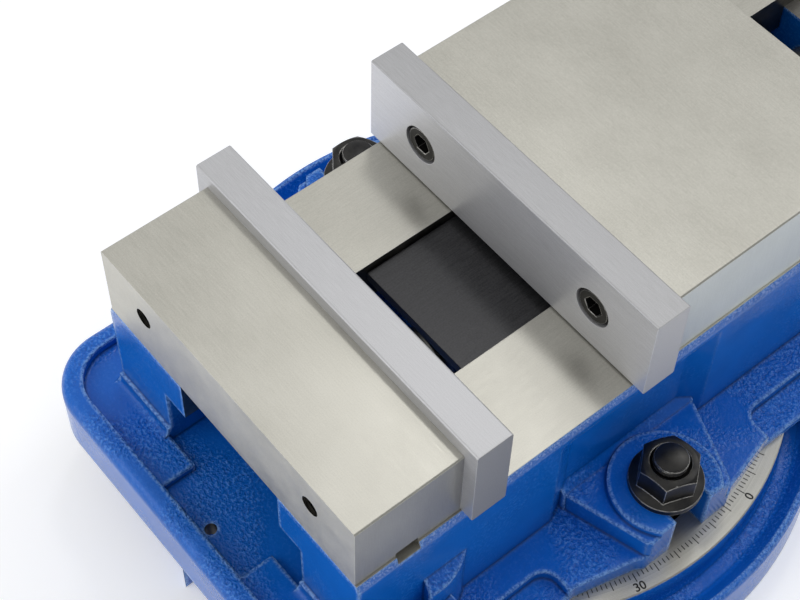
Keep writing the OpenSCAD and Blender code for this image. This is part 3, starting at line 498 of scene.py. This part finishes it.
def body_finish(centre, normal):
    """0 painted, 1 ground, 2 milled, a dark grey that stands in part for shade on the slot's walls, 3
    drilled, near black as painted shade.
    """
    x, y, z = centre
    in_drain = math.hypot(x, y - BODY_HIGH[1] + DRAIN_IN) < DRAIN_R + NEAR
    if in_drain and abs(normal.z) < UPWARD:
        return 3
    on_top = normal.z > FLAT and z > KEY_FLOOR - NEAR
    key_side = z > KEY_FLOOR and abs(normal.y) > FLAT and JAW_LOW[1] < y < JAW_HIGH[1]
    if on_top or key_side:
        return 1
    in_slot = abs(x) < SLOT_HALF + SKIN and z > RAIL_UNDER
    slot_wall = in_slot and abs(normal.x) > FLAT
    slot_floor = in_slot and normal.z > FLAT
    under_rail = abs(z - RAIL_UNDER) < NEAR
    underneath = normal.z < -FLAT and (z < RING_Z + NEAR or under_rail)
    by_screw = y < SCREW_POCKET_FRONT and math.hypot(x, z - AXIS_Z) < SCREW_POCKET_R + NEAR
    bore = by_screw and abs(normal.y) < FLAT
    return 2 if slot_wall or slot_floor or underneath or bore else 0


def base_finish(centre, normal):
    """0 painted, 1 turned, 2 milled."""
    x, y, z = centre
    radius = math.hypot(x, y)
    face_or_bevel = normal.z > UPWARD and z > RING_Z - 2 * NEAR
    if face_or_bevel and radius < RING_R + NEAR:
        return 1
    tee_slot = abs(radius - STUD_X) < TEE_ENTRY_R + NEAR and TEE_SLOT_FLOOR - NEAR < z < RING_Z
    seat = normal.z < -FLAT and z < KEY_SLOT_TOP + NEAR
    return 2 if tee_slot or seat or radius < PIN_BORE_R + NEAR else 0


def jaw_finish(centre, normal):
    """0 ground, 1 drilled holes and the foot down in the slot, near black as painted shade, 2 the fixed
    block's ends, darker as painted shade, 3 the movable block's ends, paler as painted light.
    """
    x, y, z = centre
    if abs(normal.x) > FLAT and abs(x) > JAW_HIGH[0] - NEAR:
        return 2 if y > 0 else 3
    by_hole = math.hypot(abs(x) - PLATE_SCREW_X, z - PLATE_SCREW_Z) < PLATE_SCREW_R + NEAR
    in_hole = by_hole and abs(normal.y) < FLAT
    # The jaw's foot down in the slot, apart from upward faces, takes the near black of the holes, as painted
    # shade.
    underneath = normal.z < UPWARD and z < JAW_FOOT and abs(x) < SLOT_HALF
    return 1 if in_hole or underneath else 0


def fixed_plate_finish(centre, normal):
    """0 ground all round, 1 the ends, darker as painted shade."""
    return int(abs(normal.x) > FLAT)


def movable_plate_finish(centre, normal):
    """0 ground all round, darker as painted shade, 1 the gripping face, paler as painted light."""
    return int(normal.y > FLAT)


# Making pieces


def dress(node, *materials, rule=None):
    """Gives a node its materials. rule picks the index of the one that a face takes."""
    mesh = NODES[node].data
    mesh.materials.clear()
    for material in materials:
        mesh.materials.append(material)
    if rule:
        picks = [rule([v / MM for v in face.center], face.normal) for face in mesh.polygons]
        mesh.polygons.foreach_set("material_index", picks)
        mesh.update()


def soften(node, width_mm):
    """Breaks a machined piece's sharp edges."""
    obj = NODES[node]
    weld = obj.modifiers.new("weld", "WELD")
    weld.merge_threshold = 0.001 * MM
    edge = obj.modifiers.new("broken_edges", "BEVEL")
    edge.width = width_mm * MM
    edge.segments = 2
    edge.limit_method = "ANGLE"
    edge.angle_limit = math.radians(40)
    normals = obj.modifiers.new("even_normals", "WEIGHTED_NORMAL")
    normals.keep_sharp = False


def piece(name, bm, material, body, stands_for=()):
    """A finished mesh object that rides on a body."""
    mesh = bpy.data.meshes.new(name)
    bm.normal_update()
    bm.to_mesh(mesh)
    bm.free()
    mesh.materials.append(material)
    obj = bpy.data.objects.new(name, mesh)
    bpy.context.scene.collection.objects.link(obj)
    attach(obj, body)
    if stands_for:
        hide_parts(*stands_for)


def at(x_mm, y_mm=0.0, z_mm=0.0):
    """Moves a piece to a place."""
    return Matrix.Translation(Vector((x_mm, y_mm, z_mm)) * MM)


def along_y(x_mm, z_mm):
    """Turns a piece made along Z onto the line along Y at x_mm, z_mm."""
    return at(x_mm, 0.0, z_mm) @ Matrix.Rotation(math.radians(-90), 4, "X")


def block(bm, size_mm, place):
    """A cuboid about its middle."""
    size = Matrix.Diagonal(Vector(size_mm) * MM).to_4x4()
    bmesh.ops.create_cube(bm, size=1.0, matrix=place @ size)


def turned(bm, outline_mm, place, segments=96, smooth=True):
    """A turned solid from an outline of (along, radius) points. place turns its Z axis onto the real one."""
    rings = []
    for along, radius in outline_mm:
        ring = []
        for i in range(segments if radius > 0 else 1):
            a = 2 * math.pi * i / segments
            point = Vector((radius * math.cos(a), radius * math.sin(a), along)) * MM
            ring.append(bm.verts.new(place @ point))
        rings.append(ring)
    for low, high in zip(rings, rings[1:]):
        n = max(len(low), len(high))
        for i in range(n):
            j = (i + 1) % n
            if len(low) == 1:
                corners = (low[0], high[i], high[j])
            elif len(high) == 1:
                corners = (low[i], low[j], high[0])
            else:
                corners = (low[i], low[j], high[j], high[i])
            bm.faces.new(corners).smooth = smooth


def threaded(bm, profile, pitch_mm, start_mm, end_mm, place, segments, hand=1):
    """A screw thread from start_mm to end_mm along Z. profile is one pitch of (share of pitch, radius) points
    and hand is 1 for a right-hand thread and -1 for a left-hand one."""
    part = bmesh.new()
    turns = math.ceil((end_mm - start_mm) / pitch_mm) + 2
    closed = profile + [(1.0 + profile[0][0], profile[0][1])]
    before = None
    for step in range(-segments, turns * segments + 1):
        a = 2 * math.pi * step / segments
        base = start_mm + pitch_mm * step / segments
        row = []
        for share, radius in closed:
            along = min(max(base + share * pitch_mm, start_mm), end_mm)
            point = Vector((radius * math.cos(a), hand * radius * math.sin(a), along)) * MM
            row.append(part.verts.new(place @ point))
        if before:
            for k in range(len(profile)):
                corners = (before[k], row[k], row[k + 1], before[k + 1])
                part.faces.new(corners[::hand]).smooth = True
        before = row
    bmesh.ops.remove_doubles(part, verts=part.verts[:], dist=0.0001 * MM)
    bmesh.ops.dissolve_degenerate(part, edges=part.edges[:], dist=0.0001 * MM)
    mesh = bpy.data.meshes.new("thread")
    part.to_mesh(mesh)
    part.free()
    bm.from_mesh(mesh)
    bpy.data.meshes.remove(mesh)


def stud(bm, side):
    """The clamp stud at side -1 or 1: its T head, shank, thread and the smooth button end that stands out of
    the nut. The end's bands have their own corners, so that the edges between them stay crisp."""
    root, crest, pitch = 5.9, 6.98, 2.0
    edge, neck, below_nut = 0.3, 0.6, 6.0
    segments = 64
    place = at(side * STUD_X)
    head_top = STUD_LOW[2] + TEE_HEAD_H
    head = (2 * TEE_HEAD_HALF, 2 * TEE_HEAD_HALF, TEE_HEAD_H)
    block(bm, head, at(side * STUD_X, 0, head_top - TEE_HEAD_H / 2))
    top = STUD_HIGH[2]
    shoulder = top - STUD_DOME
    thread_from = NUT_LOW[2] - below_nut
    thread_end = shoulder - neck
    button = STUD_R - 0.2
    rim = button - 0.35
    turned(bm, [(head_top, STUD_R), (thread_from - neck, STUD_R), (thread_from, root)], place, segments)
    side_of_button = [(thread_end - edge, root), (thread_end, button), (shoulder - edge, button)]
    turned(bm, side_of_button, place, segments)
    turned(bm, [(shoulder - edge, button), (shoulder, rim)], place, segments)
    ball = (STUD_R**2 + STUD_DOME**2) / (2 * STUD_DOME)
    lean = math.asin(rim / ball)
    rings = 8
    dome = []
    for i in range(rings + 1):
        a = lean * (1 - i / rings)
        dome.append((top - ball + ball * math.cos(a), ball * math.sin(a)))
    turned(bm, dome, place, segments)
    thread = [(0.0, root), (0.12, root), (0.46, crest), (0.58, crest), (0.94, root)]
    threaded(bm, thread, pitch, thread_from, thread_end, place, segments=48)


def figure_mesh(text, height, spread, depth):
    """A figure as a flat solid about the origin, its line thickened by spread. All in metres."""
    curve = bpy.data.curves.new("figure", "FONT")
    curve.body = text
    curve.size = height
    curve.align_x, curve.align_y = "CENTER", "CENTER"
    curve.offset = spread
    curve.extrude = depth / 2
    holder = bpy.data.objects.new("figure", curve)
    mesh = bpy.data.meshes.new_from_object(holder)
    bpy.data.objects.remove(holder)
    bpy.data.curves.remove(curve)
    return mesh


# The studio


def stand_camera(scene):
    """The photograph's camera."""
    lens = bpy.data.cameras.new("photo_camera")
    lens.lens = LENS_MM
    lens.sensor_width = SENSOR_MM
    lens.clip_start, lens.clip_end = 0.01, 50.0
    camera = bpy.data.objects.new("photo_camera", lens)
    camera.location = CAMERA_PLACE
    camera.rotation_euler = [math.radians(a) for a in CAMERA_TURN]
    scene.collection.objects.link(camera)
    scene.camera = camera


def lay_floor(scene):
    """A pale sheet of paper, a hair below the vise's foot."""
    bm = bmesh.new()
    for x, y in ((-1, -1), (1, -1), (1, 1), (-1, 1)):
        bm.verts.new((x * FLOOR_HALF, y * FLOOR_HALF, FLOOR_Z))
    bm.faces.new(bm.verts[:])
    mesh = bpy.data.meshes.new("floor")
    bm.to_mesh(mesh)
    bm.free()
    mesh.materials.append(backdrop_paper(list(scene.vise_colours.floor) + [1.0]))
    floor = bpy.data.objects.new("floor", mesh)
    scene.collection.objects.link(floor)


def hang_softbox(scene, name, place, side, watts):
    """A square lamp turned to the vise."""
    light = bpy.data.lights.new(name, "AREA")
    light.size = side
    light.energy = watts
    softbox = bpy.data.objects.new(name, light)
    softbox.location = place
    softbox.rotation_euler = (Vector(AIM) - Vector(place)).to_track_quat("-Z", "Y").to_euler()
    scene.collection.objects.link(softbox)


def pitch_tent(scene):
    """White cloth round the vise: palest overhead and darker towards -X."""
    world = bpy.data.worlds.new("studio_tent")
    scene.world = world
    world.use_nodes = True
    sky = world.node_tree
    ray = add(sky, "TexCoord", {}, "Generated")
    up = add(sky, "SeparateXYZ", {0: ray}, "Z")
    sideways = add(sky, "SeparateXYZ", {0: ray}, "X")
    height = add(sky, "MapRange", between(up, 0.0, 1.0, 0.0, 0.75))
    side = add(sky, "MapRange", between(sideways, 0.0, 1.0, -0.9, 0.3))
    wall = add(sky, "Mix", {SHARE: side, UNDER: DARK_SIDE, OVER: HORIZON}, **COLOUR_MIX)
    open_side = add(sky, "MapRange", between(side, 0.35, 1.0, 0.0, 1.0))
    overhead = add(sky, "Math", {0: height, 1: open_side}, operation="MULTIPLY")
    tent = add(sky, "Mix", {SHARE: overhead, UNDER: wall, OVER: ZENITH}, **COLOUR_MIX)
    feed(sky.nodes["Background"], {"Color": tent, "Strength": 0.95})


# Choices a user would change

COLOUR = {"subtype": "COLOR", "size": 3, "min": 0.0, "max": 1.0}
LENGTH = {"subtype": "DISTANCE", "precision": 5, "min": 0.0}


class ViseColours(bpy.types.PropertyGroup):
    """Colours of the paint and the floor"""

    enamel: FloatVectorProperty(
        name="Enamel", description="Paint of the castings", default=linear("#0060BC")[:3], **COLOUR
    )
    enamel_shadow: FloatVectorProperty(
        name="Enamel, thick", description="Paint where it lies thick", default=linear("#0055AA")[:3], **COLOUR
    )
    floor: FloatVectorProperty(
        name="Floor", description="Backdrop paper", default=linear("#F7F7F7")[:3], **COLOUR
    )


class ViseSizes(bpy.types.PropertyGroup):
    """Sizes of the broken edges, the ring's scale and the lead screw's thread"""

    broken_edge: FloatProperty(
        name="Broken edge", description="Chamfer on ground edges", default=0.25 * MM, **LENGTH
    )
    tick_start: FloatProperty(
        name="Tick start", description="Where ticks start, from the axis", default=113.4 * MM, **LENGTH
    )
    tick_end: FloatProperty(
        name="Short tick end", description="Where a degree's tick ends", default=115.6 * MM, **LENGTH
    )
    long_tick_end: FloatProperty(
        name="Long tick end", description="Where each fifth tick ends", default=117.2 * MM, **LENGTH
    )
    tick_width: FloatProperty(
        name="Tick width", description="Width of a tick", default=0.42 * MM, **LENGTH
    )
    figure_radius: FloatProperty(
        name="Figure radius", description="Middle of the figures", default=119.5 * MM, **LENGTH
    )
    figure_size: FloatProperty(
        name="Figure size", description="Height of the font", default=5.1 * MM, **LENGTH
    )
    figure_step: IntProperty(name="Figure step", description="Degrees between figures", default=30, min=1)
    zero_at: FloatProperty(
        name="Zero", description="Where the scale's zero stands", subtype="ANGLE", default=math.radians(196)
    )
    pitch: FloatProperty(
        name="Screw pitch", description="Travel for each turn", default=5.0 * MM, **LENGTH
    )


# Operators


class VISE_OT_castings(bpy.types.Operator):
    """Paints the base and the body, and leaves their machined faces bare"""

    bl_idname = "vise.castings"
    bl_label = "Castings"

    def execute(self, context):
        colours = context.scene.vise_colours
        thin, thick = list(colours.enamel) + [1.0], list(colours.enamel_shadow) + [1.0]
        paint = gloss_enamel("gloss_enamel_on_sand_cast_iron", thin, thick, scuffed=True)
        bed = ground_iron("surface_ground_bed", "#AFADA4", "#C4C2B9", (0.45, 8.0, 8.0))
        milled = milled_iron("milled_grey_iron")
        drilled = milled_iron("drain_hole_painted_shade", *HOLE_PAINTED_SHADE_COLOURS)
        # The slot's walls take the dark milled grey, in part painted shade, and the drain the near black of
        # the holes, as painted shade.
        dress("vise_body", paint, bed, milled, drilled, rule=body_finish)
        base_paint = gloss_enamel(BASE_PAINT, thin, thick)
        ring = turned_metal("turned_cast_iron_ring", "#A8A69E", "#C2C0B8")
        dress("swivel_base", base_paint, ring, milled, rule=base_finish)
        dress("pivot_pin", turned_metal("turned_pin_steel", "#8A8A88", "#A5A5A2"))
        return {"FINISHED"}


class VISE_OT_jaws(bpy.types.Operator):
    """Finishes the ground jaw blocks and the hardened plates"""

    bl_idname = "vise.jaws"
    bl_label = "Jaws"

    def execute(self, context):
        # Each face has the grey that it has in the photograph.
        iron = ground_iron("surface_ground_cast_iron", "#AFADA4", "#C6C4BB")
        drilled = milled_iron(HOLE_PAINTED_SHADE, *HOLE_PAINTED_SHADE_COLOURS)
        # The ends, the sides and the plates' faces are lit and shaded copies of the one ground finish:
        # painted shade where darker, painted light where paler.
        fixed_block_painted_shade_ends = ground_iron("surface_ground_iron_painted_shade_ends", "#828280", "#989896")
        movable_block_painted_light_sides = ground_iron("surface_ground_iron_painted_light_sides", "#B8BDBA", "#CACFCC")
        steel = hardened_steel(HARDENED, "#B6B6B8", "#CACACC")
        plate_painted_shade_ends = hardened_steel("hardened_steel_painted_shade_ends", "#7C7D80", "#8E8F92")
        plate_painted_light_face = hardened_steel("hardened_steel_painted_light_face", "#CECED0", "#E0E0E2")
        plate_painted_shade_top = hardened_steel("hardened_steel_painted_shade_top", "#A8A8A9", "#BCBCBE")
        for node in ("fixed_jaw", "movable_jaw"):
            dress(node, iron, drilled, fixed_block_painted_shade_ends, movable_block_painted_light_sides, rule=jaw_finish)
        dress("fixed_jaw_key", steel)
        dress("movable_jaw_plate", plate_painted_shade_top, plate_painted_light_face, rule=movable_plate_finish)
        dress("fixed_jaw_plate", steel, plate_painted_shade_ends, rule=fixed_plate_finish)
        for node in ("fixed_jaw", "movable_jaw", "fixed_jaw_plate", "movable_jaw_plate", "fixed_jaw_key"):
            soften(node, context.scene.vise_sizes.broken_edge / MM)
        return {"FINISHED"}


class VISE_OT_tapped_holes(bpy.types.Operator):
    """Cuts the thread that shows in the fixed jaw's two through holes"""

    bl_idname = "vise.tapped_holes"
    bl_label = "Tapped holes"

    def execute(self, context):
        pitch, depth, length, chamfer = 1.5, 0.55, 14.0, 0.6
        root, crest = TAP_R + SKIN, TAP_R - depth
        ridge = [(0.0, root), (0.42, crest), (0.58, crest), (0.98, root)]
        back = JAW_HIGH[1] - chamfer
        bm = bmesh.new()
        for side in (-1, 1):
            place = along_y(side * PLATE_SCREW_X, PLATE_SCREW_Z)
            threaded(bm, ridge, pitch, back - length, back, place, segments=40)
        piece("fixed_jaw_tapped_threads", bm, bpy.data.materials[HOLE_PAINTED_SHADE], "body")
        return {"FINISHED"}


class VISE_OT_fasteners(bpy.types.Operator):
    """Blackens the screws and nuts"""

    bl_idname = "vise.fasteners"
    bl_label = "Fasteners"

    def execute(self, context):
        black = black_oxide()
        for node in (
            "fixed_jaw_bolts",
            "fixed_plate_screws",
            "movable_plate_screws",
            "clamp_nut_near",
            "clamp_nut_far",
            "bearing_cap_screws",
            "adjusting_screw",
            "chip_guard_screws",
            "lock_collar",
            "lock_collar_screw",
            "crank_setscrew",
            "bearing_cap",
        ):
            dress(node, black)
        for node in ("clamp_nut_near", "clamp_nut_far", "bearing_cap", "lock_collar"):
            soften(node, width_mm=0.2)
        return {"FINISHED"}


class VISE_OT_studs(bpy.types.Operator):
    """Threads the clamp studs"""

    bl_idname = "vise.studs"
    bl_label = "Clamp studs"

    def execute(self, context):
        bm = bmesh.new()
        for side in (-1, 1):
            stud(bm, side)
        piece("clamp_stud_threads", bm, bpy.data.materials[OXIDE], "body", ("clamp_studs",))
        return {"FINISHED"}


class VISE_OT_lead_screw(bpy.types.Operator):
    """Cuts the lead screw's left-hand trapezoidal thread, collar, journal and hexagon end"""

    bl_idname = "vise.lead_screw"
    bl_label = "Lead screw"

    def execute(self, context):
        steel = turned_metal("turned_screw_steel", "#858581", "#A3A29D", 0.4, about_y=True)
        pitch = context.scene.vise_sizes.pitch / MM
        front, back = SCREW_HIGH[1], SCREW_LOW[1]
        collar_front = WALL_FRONT + COLLAR_T
        hex_front = LOCK_BACK - HEX_BEHIND_LOCK
        clearance, chamfer, run_out = 0.25, 0.8, 1.2
        tip_length, tip_step = 3.5, 1.4
        hex_bevel_length, hex_bevel_step = 1.4, 0.6
        thread_from, thread_to = collar_front + 5.0, front - 2.0
        overlap, fillet = 1.0, 0.3
        root = THREAD_R - pitch / 2 - clearance
        place = along_y(0, AXIS_Z)
        bm = bmesh.new()
        behind_thread = [
            (hex_front, 0.0),
            (hex_front, JOURNAL_R - chamfer),
            (hex_front + chamfer, JOURNAL_R),
            (WALL_FRONT - chamfer, JOURNAL_R),
            (WALL_FRONT, JOURNAL_R + fillet),
            (WALL_FRONT, COLLAR_R - chamfer),
            (WALL_FRONT + chamfer, COLLAR_R),
            (collar_front - chamfer, COLLAR_R),
            (collar_front, COLLAR_R - chamfer),
            (collar_front, root + run_out),
            (collar_front + run_out, root),
            (thread_from + overlap, root),
        ]
        turned(bm, behind_thread, place)
        tip = [(front - tip_length, root), (front - run_out, root), (front, root - tip_step), (front, 0.0)]
        turned(bm, tip, place)
        corner = HEX_HALF / math.cos(math.pi / 6)
        hexagon = [
            (back, 0.0),
            (back, HEX_HALF - hex_bevel_step),
            (back + hex_bevel_length, corner),
            (hex_front + fillet, corner),
        ]
        turned(bm, hexagon, place, segments=6, smooth=False)
        # Each flank leans 15 degrees, so it takes this share of the pitch.
        flank = 0.27 * (THREAD_R - root) / pitch
        crest = [(0.32 + flank, THREAD_R), (0.98 - flank, THREAD_R)]
        profile = [(0.0, root), (0.32, root)] + crest + [(0.98, root)]
        threaded(bm, profile, pitch, thread_from, thread_to, place, segments=72, hand=-1)
        piece("lead_screw_threads", bm, steel, "screw", ("lead_screw",))
        return {"FINISHED"}


class VISE_OT_bearings(bpy.types.Operator):
    """Finishes the nut, the half ball and the thrust bearing's pieces"""

    bl_idname = "vise.bearings"
    bl_label = "Nut and bearings"

    def execute(self, context):
        dress("lead_nut", milled_iron("milled_ductile_iron"))
        for node in ("half_ball", "wall_race", "collar_race"):
            dress(node, bpy.data.materials[HARDENED])
        bronze = turned_bronze()
        for node in ("screw_bush", "needle_cage"):
            dress(node, bronze)
        dress("screw_seal", moulded_rubber())
        return {"FINISHED"}


class VISE_OT_chip_guard(bpy.types.Operator):
    """Finishes the plate that covers the screw in the slot"""

    bl_idname = "vise.chip_guard"
    bl_label = "Chip guard"

    def execute(self, context):
        dress("chip_guard", satin_black_plate())
        soften("chip_guard", width_mm=0.3)
        return {"FINISHED"}


class VISE_OT_handle(bpy.types.Operator):
    """Paints the crank and finishes its grip and pin"""

    bl_idname = "vise.handle"
    bl_label = "Handle"

    def execute(self, context):
        dress("crank", bpy.data.materials[BASE_PAINT])
        dress("crank_grip", moulded_phenolic())
        dress("grip_pin", turned_metal("turned_grip_pin_steel", "#8C8C8A", "#AAAAA6", 0.4, about_y=True))
        return {"FINISHED"}


class VISE_OT_scale(bpy.types.Operator):
    """Etches the ring's degree ticks and figures"""

    bl_idname = "vise.scale"
    bl_label = "Degree scale"

    def execute(self, context):
        sizes = context.scene.vise_sizes
        ink = etched_mark()
        # The marks are let into the ring and stand off it by a hair, so that they never share its surface.
        depth = 0.2
        middle_z = RING_Z + SKIN - depth / 2
        start_mm, width_mm = sizes.tick_start / MM, sizes.tick_width / MM
        bm = bmesh.new()
        for degree in range(360):
            end_mm = (sizes.tick_end if degree % 5 else sizes.long_tick_end) / MM
            turn = Matrix.Rotation(sizes.zero_at - math.radians(degree), 4, "Z")
            place = turn @ at((start_mm + end_mm) / 2, 0.0, middle_z)
            block(bm, (end_mm - start_mm, width_mm, depth), place)
        piece("ring_ticks", bm, ink, "base")
        bm = bmesh.new()
        upright = at(sizes.figure_radius / MM, 0.0, middle_z) @ Matrix.Rotation(math.radians(90), 4, "Z")
        for degree in range(0, 360, sizes.figure_step):
            figure = figure_mesh(str(degree), sizes.figure_size, 0.1 * MM, depth * MM)
            figure.transform(Matrix.Rotation(sizes.zero_at - math.radians(degree), 4, "Z") @ upright)
            bm.from_mesh(figure)
            bpy.data.meshes.remove(figure)
        piece("ring_figures", bm, ink, "base")
        return {"FINISHED"}


class VISE_OT_stage(bpy.types.Operator):
    """Sets the camera, the pale floor and soft studio light"""

    bl_idname = "vise.stage"
    bl_label = "Stage"

    def execute(self, context):
        scene = context.scene
        stand_camera(scene)
        lay_floor(scene)
        for name, (place, side, watts) in SOFTBOXES.items():
            hang_softbox(scene, name, place, side, watts)
        pitch_tent(scene)
        scene.view_settings.view_transform = "Standard"
        scene.view_settings.look = "None"
        return {"FINISHED"}


class VISE_PT_panel(bpy.types.Panel):
    """Lists the choices and the steps"""

    bl_idname = "VISE_PT_panel"
    bl_label = "Swivel machine vise"
    bl_space_type = "VIEW_3D"
    bl_region_type = "UI"
    bl_category = "Vise"

    def draw(self, context):
        layout = self.layout
        for group in (context.scene.vise_colours, context.scene.vise_sizes):
            box = layout.box()
            for prop in group.__annotations__:
                box.prop(group, prop)
        for operator in STEPS:
            layout.operator(operator.bl_idname)


STEPS = (
    VISE_OT_stage,
    VISE_OT_castings,
    VISE_OT_jaws,
    VISE_OT_tapped_holes,
    VISE_OT_fasteners,
    VISE_OT_studs,
    VISE_OT_lead_screw,
    VISE_OT_bearings,
    VISE_OT_chip_guard,
    VISE_OT_handle,
    VISE_OT_scale,
)
CLASSES = (ViseColours, ViseSizes) + STEPS + (VISE_PT_panel,)


def register():
    for cls in CLASSES:
        bpy.utils.register_class(cls)
    bpy.types.Scene.vise_colours = PointerProperty(type=ViseColours)
    bpy.types.Scene.vise_sizes = PointerProperty(type=ViseSizes)


def unregister():
    del bpy.types.Scene.vise_sizes
    del bpy.types.Scene.vise_colours
    for cls in reversed(CLASSES):
        bpy.utils.unregister_class(cls)


def main():
    register()
    for step in STEPS:
        group, name = step.bl_idname.split(".")
        getattr(getattr(bpy.ops, group), name)()


if __name__ == "__main__":
    main()
